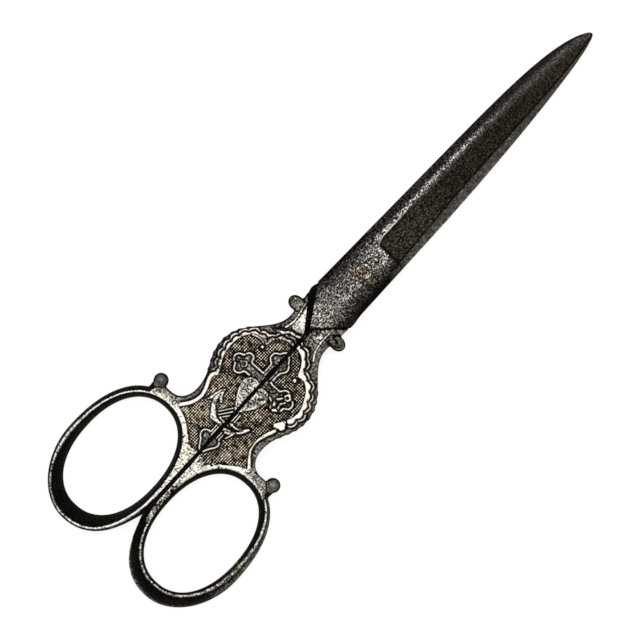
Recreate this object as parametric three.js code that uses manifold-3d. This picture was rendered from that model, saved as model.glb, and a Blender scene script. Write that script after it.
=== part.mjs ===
// Needlework scissors with ornamental handles, closed and lying on their back, in millimetres.
// +Y runs along the blades to the tips and +Z up through the thickness. The origin is on the pivot axis,
// in the plane that the scissors lie on. Each half is a steel blade whose tang sits in a cast handle, and
// the back half is the front half turned half a turn about the long axis, apart from its worn blade.
import * as THREE from "three";
import { mergeVertices } from "three/addons/utils/BufferGeometryUtils.js";
import Module from "manifold-3d";

const wasm = await Module();
wasm.setup();

// Thicknesses and clearances
const STACK = 4.4; // thickness of a handle, and length of the pivot pin
const BLADE_PLAY = 0.1; // air between the flat inner faces of the two blades
const PIN_STAND = 0.1; // how far each end of the pin stands proud of its blade
const JOINT_GAP = 0.15; // seam between a blade and its own handle
const PIN_PLAY = 0.06; // radial clearance of the pin in the blades

// Pivot pin, countersunk and riveted over at both ends
const PIN_R = 1.6;
const PIN_HEAD_R = 2.15;
const PIN_HEAD_H = 0.8;
const PIN_CHAMFER = 0.12;
const PIN_SIDES = 40;

// Blades
const REACH = 79.2; // pivot axis to tip
const RICASSO_END = 7; // pivot axis to the step where the hollow grind starts
const GRIND_STEP = 0.35; // length of that step
const RICASSO_SIDE_H = 1.1; // height of the ricasso at its edges
const RIDGE_H = 1.9; // height of the ridge beside the hollow grind, where it starts
const RIDGE_DROP = 0.012; // how much lower the ridge is for each millimetre towards the tip
const BACK_H = 1.0; // height of the blade's back edge
const BACK_DROP = 0.005;
const EDGE_LAND = 0.12; // thickness left at the cutting edge
const RIDGE_PLACE = 0.32; // the ridge lies at this part of the way from back to edge
const RIDGE_SLOPE = 0.3; // the ridge is never higher than this part of the blade's width
const HOLLOW_POWER = 1.6; // how hollow the ground face is, where 1 is flat
const CROWN_POWER = 2.4; // how square the ricasso's crown is
const TIP_WIDTH = 0.16;
const BASE_BULGE = 0.35; // how much the ricasso swells at the joint with its handle
const BASE_BULGE_Y = 12.4;
const BASE_BULGE_RUN = 3.4;
const BLADE_STATIONS = 20;
const STATION_CROWDING = 1.6; // how much closer together the stations are towards the tip

// Outlines of the two worn blades: half-widths at the pivot, tapers, and where their noses curve in.
// The ricasso's half-width is on the side of the blade's own handle.
const FRONT_BLADE = {
  ricasso: 6.5,
  back: 6.15,
  backTaper: 0.0285,
  backNose: { start: 20, power: 2.8 },
  edge: 4.95,
  edgeTaper: 0.024,
  edgeNose: { start: 60, power: 2 },
  tip: 2.0,
};
const BACK_BLADE = {
  ricasso: 6.1,
  back: 6.5,
  backTaper: 0,
  backNose: { start: 20, power: 1.5 },
  edge: 4.6,
  edgeTaper: 0.02,
  edgeNose: { start: 20, power: 2.8 },
  tip: -2.0,
};

// The pointed base of a blade, seen from the front
const BASE_APEX = 18.75; // pivot axis to the point of the base
const JOINT_ANGLE = 43; // slope of the seam between blade and handle, in degrees
const FREE_ANGLE = 58; // slope of the base's other side, which faces the other handle
const SHOULDER_DROP = 2.05; // how far below the apex the handle's full thickness starts
const SHOULDER_ANGLE = 54;

// Tang
const TANG_LENGTH = 16; // below the apex
const TANG_WIDTH = 2.6;
const TANG_H = 1.0;
const TANG_X = 2.9; // centre of the tang, from the parting line
const TANG_ROOT = 5; // how far the tang runs back into the blade above the apex

// Handle plate: half-widths from the parting line, and drops from one station to the next
const TOP_HALF = 6.8; // at the seam with the blade
const NECK_HALF = 5.9;
const NECK_DROP = 0.9; // apex to the narrowest place of the neck
const PANEL_HALF = 14.1;
const PANEL_DROP = 15.8; // neck to the widest place of the panel
const WAIST_HALF = 10.7;
const WAIST_DROP = 12.4; // panel to waist
const FOOT_DROP = 4.9; // waist to the foot where the bow starts
const FOOT_RUN = 3.9; // waist's outline out to the foot
const BOW_DROP = 3.6; // foot to the top of the finger hole
const TAIL_DROP = 5; // hole's middle to the end of the plate's tail beside the parting line
const PLATE_BEVEL = 0.7; // width of the rounded edge
const PLATE_BEVEL_H = 0.9;
const PARTING_NECK = 0.36; // half the gap between the handles at the neck
const PARTING_BOW = 0.08; // and where the bows nearly touch
const HANDLE_SHIFT = 0.3; // the front handle sits this much lower than drawn, and the back handle higher

// Curve handles of the plate's outline
const SHOULDER_PULL = 6.2;
const PANEL_TOP_PULL = 7.5;
const PANEL_LOW_PULL = 5.5;
const WAIST_PULL = 5.5;
const WAIST_LOW_PULL = 2.8;
const FOOT_PULL = 2.3;

// Finger bow
const HOLE_HALF_WIDTH = 10.8;
const HOLE_HALF_HEIGHT = 16;
const HOLE_POWER = 2.4;
const BOW_SIDE = 2.65; // width of the bow beside the parting line
const BOW_OUTSIDE = 3.0;
const BOW_TOP = 2.3;
const BOW_END = 4.2; // width of the bow at its far end
const BOW_POWER = 2.1;
const BOW_CREST = 0.55; // place of the bow's crest, from hole to rim
const BOW_FLARE = 0.36; // how far the crest wanders at the far end, inwards in front and outwards behind
const BOW_LEAN = 1.1; // how far the bow's widest level moves off the middle there
const BOW_STEPS = 48;
const QUARTER_STEPS = 3;

// Knob on the bow and scroll on the neck
const KNOB_R = 1.85;
const KNOB_OUT = 3.8; // foot to the knob's centre, outwards
const KNOB_UP = 0.42;
const SCROLL_R = 1.75;
const SCROLL_H = 3.6;
const SCROLL_CHAMFER = 0.5;
const SCROLL_OUT = 1.4; // neck's edge to the scroll's centre
const SCROLL_UP = 2.9; // neck to the scroll's centre

// Sunk field on both faces, with the raised emblem in it
const FIELD_DEPTH = 0.55;
const TOP_LOBE_R = 5.05;
const TOP_LOBE_UP = 5.4; // widest place of the panel to the lobe's centre
const SIDE_LOBE_X = 5.3;
const SIDE_LOBE_HALF = 5.8;
const SIDE_LOBE_TALL = 6.4;
const FIELD_RIM = 2.4; // width of the flat rim beside the waist
const FIELD_FOOT_RISE = 1.1; // field's lower corner below the foot
const FIELD_END = 2.4; // how far the field runs down the parting line past the hole's top
const EMBLEM_H = 0.35;
const HEART_H = 0.45;
const ARM_HALF = 1.4;
const BUD_R = 1.25;
const CROSS_HEAD = 8.4; // widest place of the panel to the cross's top bud
const CROSS_SPAN = 8.0; // parting line to the end bud of a side arm
const BUD_BACK = 1.6; // end bud back to the pair of side buds
const BUD_SPREAD = 1.75;
const CROSS_FOOT = 21.3; // widest place of the panel to the lowest bud
const HEART_HALF = 3.7;
const HEART_TOP = 1.5; // widest place of the panel down to the heart's shoulders
const HEART_LENGTH = 7.8;
const ANCHOR_R = 5.3;
const ANCHOR_THICK = 1.1;
const ANCHOR_CROWN = 14.9; // widest place of the panel to the anchor's crown
const ANCHOR_SWEEP = 68; // half of the arms' arc, in degrees
const FLUKE_LENGTH = 3.6;
const FLUKE_HALF = 1.0;

// Scalloped edge of the panel
const SCALLOP_R = 1.25;
const SCALLOP_STAND = 0.2;
const SCALLOPS_ABOVE = 4;
const SCALLOPS_BELOW = 4;
const SCALLOP_PITCH = 2.15;
const SCALLOP_INSET = 0.45; // scallops stop this far short of both faces
const ROUND_SIDES = 12;
const LOBE_SIDES = 32;
const CURVE_STEPS = 8;

// Worked-out places
const MIDDLE = STACK / 2;
const INNER = MIDDLE + BLADE_PLAY / 2; // level of a front blade's flat inner face
const CROWN_H = STACK - PIN_STAND - INNER;
const NECK_Y = -(BASE_APEX + NECK_DROP);
const PANEL_Y = NECK_Y - PANEL_DROP;
const WAIST_Y = PANEL_Y - WAIST_DROP;
const FOOT_Y = WAIST_Y - FOOT_DROP;
const FOOT_X = WAIST_HALF + FOOT_RUN;
const BOW_X = PARTING_BOW + BOW_SIDE + HOLE_HALF_WIDTH;
const BOW_Y = FOOT_Y - BOW_DROP - HOLE_HALF_HEIGHT;
const FAR = 4 * (REACH - BOW_Y); // longer than anything that is cut

const radians = THREE.MathUtils.degToRad;

// A closed geometry as a solid that can be joined and cut
function toSolid(geometry) {
  const bare = geometry.clone();
  bare.deleteAttribute("normal");
  bare.deleteAttribute("uv");
  const merged = mergeVertices(bare);
  const vertProperties = new Float32Array(merged.attributes.position.array);
  const triVerts = new Uint32Array(merged.index.array);
  return new wasm.Manifold(new wasm.Mesh({ numProp: 3, vertProperties, triVerts }));
}

function toMesh(name, solid, material) {
  const made = solid.getMesh();
  const geometry = new THREE.BufferGeometry();
  geometry.setAttribute("position", new THREE.BufferAttribute(made.vertProperties, 3));
  geometry.setIndex(new THREE.BufferAttribute(made.triVerts, 1));
  geometry.computeVertexNormals();
  const mesh = new THREE.Mesh(geometry, material);
  mesh.name = name;
  return mesh;
}

// An outline in the plane of the scissors, as a straight-walled solid between two levels
function prism(shape, low, high) {
  const geometry = new THREE.ExtrudeGeometry(shape, {
    depth: high - low,
    bevelEnabled: false,
    curveSegments: CURVE_STEPS,
  });
  return toSolid(geometry.translate(0, 0, low));
}

function polygon(points) {
  return new THREE.Shape(points.map(([x, y]) => new THREE.Vector2(x, y)));
}

function disc(x, y, radius, low, high, sides = ROUND_SIDES) {
  const geometry = new THREE.CylinderGeometry(radius, radius, high - low, sides);
  geometry.rotateX(Math.PI / 2);
  return toSolid(geometry.translate(x, y, (low + high) / 2));
}

// A solid turned about the upright axis from a closed profile of radius and height
function turned(profile, sides) {
  const points = profile.map(([radius, height]) => new THREE.Vector2(radius, height));
  return toSolid(new THREE.LatheGeometry(points, sides).rotateX(Math.PI / 2));
}

// A skin over rings of points that all go round the same way: a loop of rings, or a row with closed ends
function loft(rings, isLoop) {
  const count = rings[0].length;
  const positions = rings.flat().flatMap((point) => point.toArray());
  const index = [];
  const spans = isLoop ? rings.length : rings.length - 1;
  for (let i = 0; i < spans; i++) {
    const here = i * count;
    const next = ((i + 1) % rings.length) * count;
    for (let j = 0; j < count; j++) {
      const k = (j + 1) % count;
      index.push(here + j, here + k, next + k);
      index.push(here + j, next + k, next + j);
    }
  }
  if (!isLoop) {
    const last = (rings.length - 1) * count;
    for (let j = 1; j < count - 1; j++) {
      index.push(0, j + 1, j);
      index.push(last, last + j, last + j + 1);
    }
  }
  const geometry = new THREE.BufferGeometry();
  geometry.setAttribute("position", new THREE.Float32BufferAttribute(positions, 3));
  geometry.setIndex(index);
  return toSolid(geometry);
}

// Blades

// How far a blade's outline has curved in towards the tip: 0 where the curve starts and 1 at the tip
function noseCurve(nose, y) {
  const along = THREE.MathUtils.clamp((y - nose.start) / (REACH - nose.start), 0, 1);
  return 1 - Math.sqrt(1 - along ** nose.power);
}

function backX(blade, y) {
  const straight = -blade.back + blade.backTaper * y;
  const atTip = -blade.back + blade.backTaper * REACH;
  return straight + (blade.tip - atTip) * noseCurve(blade.backNose, y);
}

function edgeX(blade, y) {
  const straight = blade.edge - blade.edgeTaper * (y - RICASSO_END);
  const atTip = blade.edge - blade.edgeTaper * (REACH - RICASSO_END);
  const curved = straight + (blade.tip - atTip) * noseCurve(blade.edgeNose, y);
  return Math.max(curved, backX(blade, y) + TIP_WIDTH);
}

// Places across a blade from its back to its edge, closer together in the hollow beside the ridge
const ACROSS = [0, RIDGE_PLACE / 2, RIDGE_PLACE];
const HOLLOW_STEPS = 5;
for (let i = 1; i <= HOLLOW_STEPS; i++) {
  ACROSS.push(RIDGE_PLACE + ((1 - RIDGE_PLACE) * i) / HOLLOW_STEPS);
}

function ricassoSection(blade, y) {
  const bulge = BASE_BULGE * THREE.MathUtils.clamp(1 - (y + BASE_BULGE_Y) / BASE_BULGE_RUN, 0, 1);
  const left = backX(blade, y) - bulge;
  const right = blade.ricasso + bulge;
  return section(y, left, right, (place) => {
    const rise = 1 - Math.abs(2 * place - 1) ** CROWN_POWER;
    return RICASSO_SIDE_H + (CROWN_H - RICASSO_SIDE_H) * rise;
  });
}

function bladeSection(blade, y) {
  const left = backX(blade, y);
  const right = edgeX(blade, y);
  const ridge = Math.min(RIDGE_H - RIDGE_DROP * y, RIDGE_SLOPE * (right - left));
  const back = Math.min(BACK_H - BACK_DROP * y, ridge);
  const land = Math.min(EDGE_LAND, back);
  return section(y, left, right, (place) => {
    if (place < RIDGE_PLACE) {
      return back + (ridge - back) * Math.sin((Math.PI / 2) * (place / RIDGE_PLACE));
    }
    const along = (place - RIDGE_PLACE) / (1 - RIDGE_PLACE);
    return land + (ridge - land) * (1 - along) ** HOLLOW_POWER;
  });
}

// A closed ring of points across the blade at one station, from the flat inner face over the outer face
function section(y, left, right, height) {
  const top = ACROSS.map(
    (place) => new THREE.Vector3(left + (right - left) * place, y, INNER + height(place)),
  );
  return [new THREE.Vector3(left, y, INNER), ...top, new THREE.Vector3(right, y, INNER)];
}

function bladeSolid(blade) {
  const rings = [-BASE_APEX, -BASE_BULGE_Y, BASE_BULGE_RUN - BASE_BULGE_Y, 0, RICASSO_END].map((y) =>
    ricassoSection(blade, y),
  );
  const start = RICASSO_END + GRIND_STEP;
  for (let i = 0; i <= BLADE_STATIONS; i++) {
    const toTip = 1 - (1 - i / BLADE_STATIONS) ** STATION_CROWDING;
    rings.push(bladeSection(blade, start + (REACH - start) * toTip));
  }
  const pointed = loft(rings, false).intersect(bladeFootprint());
  const tang = prism(
    polygon([
      [TANG_X - TANG_WIDTH / 2, TANG_ROOT - BASE_APEX],
      [TANG_X + TANG_WIDTH / 2, TANG_ROOT - BASE_APEX],
      [TANG_X + TANG_WIDTH / 2, -(BASE_APEX + TANG_LENGTH)],
      [TANG_X - TANG_WIDTH / 2, -(BASE_APEX + TANG_LENGTH)],
    ]),
    INNER,
    INNER + TANG_H,
  );
  return pointed.add(tang).subtract(pinSolid(PIN_PLAY));
}

// Everything above the pointed base of a front blade
function bladeFootprint() {
  const joint = radians(JOINT_ANGLE);
  const free = radians(FREE_ANGLE);
  const apex = -BASE_APEX + JOINT_GAP / Math.cos(joint);
  return prism(
    polygon([
      [0, apex],
      [FAR * Math.cos(joint), apex + FAR * Math.sin(joint)],
      [FAR, FAR],
      [-FAR, FAR],
      [-FAR * Math.cos(free), apex + FAR * Math.sin(free)],
    ]),
    -STACK,
    2 * STACK,
  );
}

// Pivot

// The pin, or with play the hole that it turns in
function pinSolid(play) {
  const head = PIN_HEAD_R + play;
  const shank = PIN_R + play;
  const flank = PIN_HEAD_H / 2;
  return turned(
    [
      [0, 0],
      [head - PIN_CHAMFER, 0],
      [head, PIN_CHAMFER],
      [head, flank],
      [shank, PIN_HEAD_H],
      [shank, STACK - PIN_HEAD_H],
      [head, STACK - flank],
      [head, STACK - PIN_CHAMFER],
      [head - PIN_CHAMFER, STACK],
      [0, STACK],
    ],
    PIN_SIDES,
  );
}

// Handles

// The plate's outer edge, from the neck past the panel to the waist
const SHOULDER_CURVE = new THREE.CubicBezierCurve(
  new THREE.Vector2(NECK_HALF, NECK_Y),
  new THREE.Vector2(NECK_HALF, NECK_Y - SHOULDER_PULL),
  new THREE.Vector2(PANEL_HALF, PANEL_Y + PANEL_TOP_PULL),
  new THREE.Vector2(PANEL_HALF, PANEL_Y),
);
const WAIST_CURVE = new THREE.CubicBezierCurve(
  new THREE.Vector2(PANEL_HALF, PANEL_Y),
  new THREE.Vector2(PANEL_HALF, PANEL_Y - PANEL_LOW_PULL),
  new THREE.Vector2(WAIST_HALF, WAIST_Y + WAIST_PULL),
  new THREE.Vector2(WAIST_HALF, WAIST_Y),
);

function plateSolid() {
  const shape = new THREE.Shape();
  const knobX = FOOT_X + KNOB_OUT;
  shape.moveTo(-TOP_HALF, 0);
  shape.lineTo(TOP_HALF, 0);
  shape.lineTo(TOP_HALF, -BASE_BULGE_Y);
  shape.lineTo(NECK_HALF, NECK_Y);
  shape.curves.push(SHOULDER_CURVE, WAIST_CURVE);
  shape.currentPoint.set(WAIST_HALF, WAIST_Y);
  shape.bezierCurveTo(WAIST_HALF, WAIST_Y - WAIST_LOW_PULL, FOOT_X - FOOT_PULL, FOOT_Y, FOOT_X, FOOT_Y);
  shape.lineTo(knobX - KNOB_R, FOOT_Y);
  shape.lineTo(knobX, FOOT_Y - KNOB_R);
  shape.lineTo(BOW_X, BOW_Y);
  shape.lineTo(BOW_X - HOLE_HALF_WIDTH, BOW_Y);
  shape.lineTo(0, BOW_Y - TAIL_DROP);
  shape.lineTo(-TOP_HALF, BOW_Y);
  const geometry = new THREE.ExtrudeGeometry(shape, {
    depth: STACK - 2 * PLATE_BEVEL_H,
    bevelThickness: PLATE_BEVEL_H,
    bevelSize: PLATE_BEVEL,
    bevelOffset: -PLATE_BEVEL,
    bevelSegments: 2,
    curveSegments: CURVE_STEPS,
  });
  return toSolid(geometry.translate(0, 0, PLATE_BEVEL_H));
}

function superellipse(x, y, halfWidth, halfHeight, power, angle) {
  const across = Math.cos(angle);
  const along = Math.sin(angle);
  return new THREE.Vector2(
    x + halfWidth * Math.sign(across) * Math.abs(across) ** (2 / power),
    y + halfHeight * Math.sign(along) * Math.abs(along) ** (2 / power),
  );
}

function holeEdge(angle, widen) {
  return superellipse(BOW_X, BOW_Y, HOLE_HALF_WIDTH + widen, HOLE_HALF_HEIGHT + widen, HOLE_POWER, angle);
}

function bowRim(angle) {
  const x = BOW_X + (BOW_OUTSIDE - BOW_SIDE) / 2;
  const y = BOW_Y - (BOW_END - BOW_TOP) / 2;
  const halfWidth = HOLE_HALF_WIDTH + (BOW_OUTSIDE + BOW_SIDE) / 2;
  const halfHeight = HOLE_HALF_HEIGHT + (BOW_END + BOW_TOP) / 2;
  return superellipse(x, y, halfWidth, halfHeight, BOW_POWER, angle);
}

// The bow's oval section, leaning so that the hole opens wider behind than in front at its far end
function bowSection(angle) {
  const inner = holeEdge(angle, 0);
  const outer = bowRim(angle);
  const sag = (1 - Math.sin(angle)) / 2;
  const front = BOW_CREST - BOW_FLARE * sag;
  const behind = BOW_CREST + BOW_FLARE * sag;
  const outerLevel = MIDDLE - BOW_LEAN * sag;
  const innerLevel = MIDDLE + BOW_LEAN * sag;
  const quarters = [
    (s, c) => [front + (1 - front) * s, outerLevel + (STACK - outerLevel) * c],
    (s, c) => [behind + (1 - behind) * c, outerLevel * (1 - s)],
    (s, c) => [behind * (1 - s), innerLevel * (1 - c)],
    (s, c) => [front * (1 - c), innerLevel + (STACK - innerLevel) * s],
  ];
  const ring = [];
  for (const quarter of quarters) {
    for (let i = 0; i < QUARTER_STEPS; i++) {
      const turn = ((Math.PI / 2) * i) / QUARTER_STEPS;
      const [place, level] = quarter(Math.sin(turn), Math.cos(turn));
      const point = inner.clone().lerp(outer, place);
      ring.push(new THREE.Vector3(point.x, point.y, level));
    }
  }
  return ring;
}

function bowSolid() {
  const rings = [];
  for (let i = 0; i < BOW_STEPS; i++) {
    rings.push(bowSection((2 * Math.PI * i) / BOW_STEPS));
  }
  return loft(rings, true);
}

// The finger hole as a straight-walled solid, wider than the hole by the given amount
function holeSolid(widen) {
  const points = [];
  for (let i = 0; i < BOW_STEPS; i++) {
    points.push(holeEdge((2 * Math.PI * i) / BOW_STEPS, widen));
  }
  return prism(new THREE.Shape(points), -STACK, 2 * STACK);
}

function knobSolid() {
  const geometry = new THREE.SphereGeometry(KNOB_R, ROUND_SIDES, ROUND_SIDES / 2);
  return toSolid(geometry.translate(FOOT_X + KNOB_OUT, FOOT_Y + KNOB_UP, MIDDLE));
}

function scrollSolid() {
  const half = SCROLL_H / 2;
  const button = turned(
    [
      [0, -half],
      [SCROLL_R - SCROLL_CHAMFER, -half],
      [SCROLL_R, SCROLL_CHAMFER - half],
      [SCROLL_R, half - SCROLL_CHAMFER],
      [SCROLL_R - SCROLL_CHAMFER, half],
      [0, half],
    ],
    ROUND_SIDES,
  );
  return button.translate([NECK_HALF + SCROLL_OUT, NECK_Y + SCROLL_UP, MIDDLE]);
}

// Small round lobes along the panel's edge, above and below its widest place
function scallopSolids() {
  const rows = [
    { curve: SHOULDER_CURVE, count: SCALLOPS_ABOVE, direction: -1 },
    { curve: WAIST_CURVE, count: SCALLOPS_BELOW, direction: 1 },
  ];
  const lobes = [];
  for (const { curve, count, direction } of rows) {
    const length = curve.getLength();
    for (let i = 0; i < count; i++) {
      const travelled = SCALLOP_PITCH * (i + 0.5);
      const along = direction > 0 ? travelled / length : 1 - travelled / length;
      const point = curve.getPointAt(along);
      const tangent = curve.getTangentAt(along);
      const inset = SCALLOP_R - SCALLOP_STAND;
      const x = point.x + tangent.y * inset;
      const y = point.y - tangent.x * inset;
      lobes.push(disc(x, y, SCALLOP_R, SCALLOP_INSET, STACK - SCALLOP_INSET));
    }
  }
  return lobes;
}

// The sunk field: two round lobes above, a waisted part below that follows the bow, between two levels
function fieldSolid(low, high) {
  const topLobe = disc(0, PANEL_Y + TOP_LOBE_UP, TOP_LOBE_R, low, high, LOBE_SIDES);
  const sideLobe = disc(0, 0, 1, low, high, LOBE_SIDES)
    .scale([SIDE_LOBE_HALF, SIDE_LOBE_TALL, 1])
    .translate([SIDE_LOBE_X, PANEL_Y, 0]);
  const shape = new THREE.Shape();
  const sideX = SIDE_LOBE_X + SIDE_LOBE_HALF * Math.SQRT1_2;
  const sideY = PANEL_Y - SIDE_LOBE_TALL * Math.SQRT1_2;
  const waistX = WAIST_HALF - FIELD_RIM;
  const footX = FOOT_X - FIELD_RIM - FIELD_FOOT_RISE;
  const footY = FOOT_Y - FIELD_FOOT_RISE;
  shape.moveTo(-FIELD_RIM, PANEL_Y);
  shape.lineTo(SIDE_LOBE_X, PANEL_Y);
  shape.lineTo(sideX, sideY);
  shape.bezierCurveTo(waistX, WAIST_Y + WAIST_PULL, waistX, WAIST_Y, waistX, WAIST_Y);
  shape.bezierCurveTo(waistX, WAIST_Y - WAIST_LOW_PULL, footX - FOOT_PULL / 2, footY, footX, footY);
  shape.lineTo(footX, footY - FIELD_END);
  shape.lineTo(-FIELD_RIM, FOOT_Y - BOW_DROP - FIELD_END);
  const waisted = prism(shape, low, high).subtract(holeSolid(BOW_TOP));
  return topLobe.add(sideLobe).add(waisted);
}

// The emblem stands on both sunk fields: a budded cross, a heart and an anchor, cut by the parting line
function emblemSolid() {
  const low = FIELD_DEPTH - EMBLEM_H;
  const high = STACK - low;
  const crossTop = PANEL_Y + CROSS_HEAD;
  const crossFoot = PANEL_Y - CROSS_FOOT;
  const bar = (x0, y0, x1, y1) =>
    prism(
      polygon([
        [x0, y0],
        [x1, y0],
        [x1, y1],
        [x0, y1],
      ]),
      low,
      high,
    );
  const bud = (x, y) => disc(x, y, BUD_R, low, high);
  const cross = [
    bar(-ARM_HALF, crossFoot, ARM_HALF, crossTop),
    bar(0, PANEL_Y - ARM_HALF, CROSS_SPAN, PANEL_Y + ARM_HALF),
    bud(0, crossTop),
    bud(BUD_SPREAD, crossTop - BUD_BACK),
    bud(0, crossFoot),
    bud(BUD_SPREAD, crossFoot + BUD_BACK),
    bud(CROSS_SPAN, PANEL_Y),
    bud(CROSS_SPAN - BUD_BACK, PANEL_Y - BUD_SPREAD),
    bud(CROSS_SPAN - BUD_BACK, PANEL_Y + BUD_SPREAD),
  ];
  return [...cross, heartSolid(), anchorSolid(low, high)].reduce((whole, piece) => whole.add(piece));
}

function heartSolid() {
  const lobe = HEART_HALF / 2;
  const top = PANEL_Y - HEART_TOP - lobe;
  const point = PANEL_Y - HEART_TOP - HEART_LENGTH;
  const shape = new THREE.Shape();
  shape.moveTo(0, point);
  shape.quadraticCurveTo(HEART_HALF, top - lobe, HEART_HALF, top);
  shape.absarc(lobe, top, lobe, 0, Math.PI, false);
  shape.lineTo(-lobe, top);
  const low = FIELD_DEPTH - HEART_H;
  return prism(shape, low, STACK - low);
}

function anchorSolid(low, high) {
  const centreY = PANEL_Y - ANCHOR_CROWN + ANCHOR_R;
  const sweep = radians(ANCHOR_SWEEP);
  const down = -Math.PI / 2;
  const arms = new THREE.Shape();
  arms.absarc(0, centreY, ANCHOR_R, down - sweep, down + sweep, false);
  arms.absarc(0, centreY, ANCHOR_R - ANCHOR_THICK, down + sweep, down - sweep, true);
  const outX = Math.sin(sweep);
  const outY = -Math.cos(sweep);
  const middle = ANCHOR_R - ANCHOR_THICK / 2;
  const tipX = middle * outX;
  const tipY = centreY + middle * outY;
  const spread = ANCHOR_THICK / 2 + FLUKE_HALF;
  const fluke = polygon([
    [tipX + spread * outX, tipY + spread * outY],
    [tipX - (FLUKE_LENGTH / 2) * outY, tipY + (FLUKE_LENGTH / 2) * outX],
    [tipX - spread * outX, tipY - spread * outY],
    [tipX + (FLUKE_LENGTH / 4) * outY, tipY - (FLUKE_LENGTH / 4) * outX],
  ]);
  return prism(arms, low, high).add(prism(fluke, low, high));
}

// What lies above a sloping line that starts on the parting line, between two levels
function aboveLine(startY, degrees, low, high) {
  const slope = radians(degrees);
  return prism(
    polygon([
      [-FAR * Math.cos(slope), startY - FAR * Math.sin(slope)],
      [FAR * Math.cos(slope), startY + FAR * Math.sin(slope)],
      [-FAR, FAR],
    ]),
    low,
    high,
  );
}

// Everything on the other half's side of the parting line
function pastParting() {
  return prism(
    polygon([
      [-FAR, FAR],
      [PARTING_NECK, FAR],
      [PARTING_NECK, NECK_Y],
      [PARTING_BOW, BOW_Y],
      [PARTING_BOW, -FAR],
      [-FAR, -FAR],
    ]),
    -STACK,
    2 * STACK,
  );
}

function mortise() {
  const half = TANG_WIDTH / 2 + JOINT_GAP;
  const end = -(BASE_APEX + TANG_LENGTH + JOINT_GAP);
  return prism(
    polygon([
      [TANG_X - half, 0],
      [TANG_X + half, 0],
      [TANG_X + half, end],
      [TANG_X - half, end],
    ]),
    INNER - JOINT_GAP,
    INNER + TANG_H + JOINT_GAP,
  );
}

function handleSolid(shift) {
  const plate = plateSolid().subtract(holeSolid(BOW_TOP / 2));
  const body = [bowSolid(), knobSolid(), scrollSolid(), ...scallopSolids()].reduce(
    (whole, piece) => whole.add(piece),
    plate,
  );
  return body
    .subtract(fieldSolid(STACK - FIELD_DEPTH, 2 * STACK))
    .subtract(fieldSolid(-STACK, FIELD_DEPTH))
    .add(emblemSolid())
    .translate([0, shift, 0])
    .subtract(pastParting())
    .subtract(aboveLine(-BASE_APEX, JOINT_ANGLE, INNER - BLADE_PLAY, 2 * STACK))
    .subtract(aboveLine(-(BASE_APEX + SHOULDER_DROP), SHOULDER_ANGLE, -STACK, INNER))
    .subtract(mortise());
}

// Materials
const bladeSteel = new THREE.MeshStandardMaterial({ color: 0x55524d, roughness: 0.5, metalness: 1 });
const handleMetal = new THREE.MeshStandardMaterial({ color: 0xa8a298, roughness: 0.42, metalness: 1 });
const pinSteel = new THREE.MeshStandardMaterial({ color: 0x6e5a4c, roughness: 0.6, metalness: 0.9 });

// Assembly
const frontHalf = new THREE.Group();
frontHalf.add(toMesh("front_blade", bladeSolid(FRONT_BLADE), bladeSteel));
frontHalf.add(toMesh("front_handle", handleSolid(-HANDLE_SHIFT), handleMetal));

const backHalf = new THREE.Group();
backHalf.add(toMesh("back_blade", bladeSolid(BACK_BLADE), bladeSteel));
backHalf.add(toMesh("back_handle", handleSolid(HANDLE_SHIFT), handleMetal));
backHalf.rotation.y = Math.PI;
backHalf.position.z = STACK;

const scissors = new THREE.Group();
scissors.add(frontHalf, backHalf, toMesh("pivot_pin", pinSolid(0), pinSteel));

export default scissors;
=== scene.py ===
"""Needlework scissors with ornamental handles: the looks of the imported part, around its own frame.

Each half is a forged blade let into a cast handle, and one riveted pin joins the halves. The shaping is
done in millimetres in the part's frame (+Y along the blades, +Z up, the pivot axis through the origin)
and each finished mesh is brought to metres once. A half is shaped as the front one. The back half is
the same shape turned half a turn about the long axis.
"""

import math

import bmesh
import bpy
import numpy as np
from mathutils import Matrix, Vector, geometry, noise


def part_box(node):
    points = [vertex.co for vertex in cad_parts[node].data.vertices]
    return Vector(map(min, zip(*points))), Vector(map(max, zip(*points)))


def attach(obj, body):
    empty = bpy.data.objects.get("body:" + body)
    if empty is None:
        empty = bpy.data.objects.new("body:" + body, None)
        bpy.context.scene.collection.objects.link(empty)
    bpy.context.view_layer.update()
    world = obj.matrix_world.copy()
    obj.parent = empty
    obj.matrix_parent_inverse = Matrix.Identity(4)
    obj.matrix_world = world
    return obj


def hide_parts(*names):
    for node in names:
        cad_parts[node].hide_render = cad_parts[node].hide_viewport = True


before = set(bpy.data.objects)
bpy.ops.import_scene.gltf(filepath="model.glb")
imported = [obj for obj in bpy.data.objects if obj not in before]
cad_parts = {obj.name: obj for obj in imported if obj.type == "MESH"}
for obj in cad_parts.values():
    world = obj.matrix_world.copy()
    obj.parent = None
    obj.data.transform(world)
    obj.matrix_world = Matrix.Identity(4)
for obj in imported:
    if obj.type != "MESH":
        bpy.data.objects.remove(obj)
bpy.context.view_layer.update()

MM = 0.001
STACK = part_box("front_handle")[1].z / MM  # thickness of a handle
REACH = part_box("front_blade")[1].y / MM  # pivot axis to tip
MIDDLE = STACK / 2
INNER = MIDDLE + 0.05  # level of a front blade's flat inner face
STRAIGHT = Matrix.Identity(4)
TURNED = Matrix.Translation((0, 0, STACK)) @ Matrix.Rotation(math.pi, 4, "Y")

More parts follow.
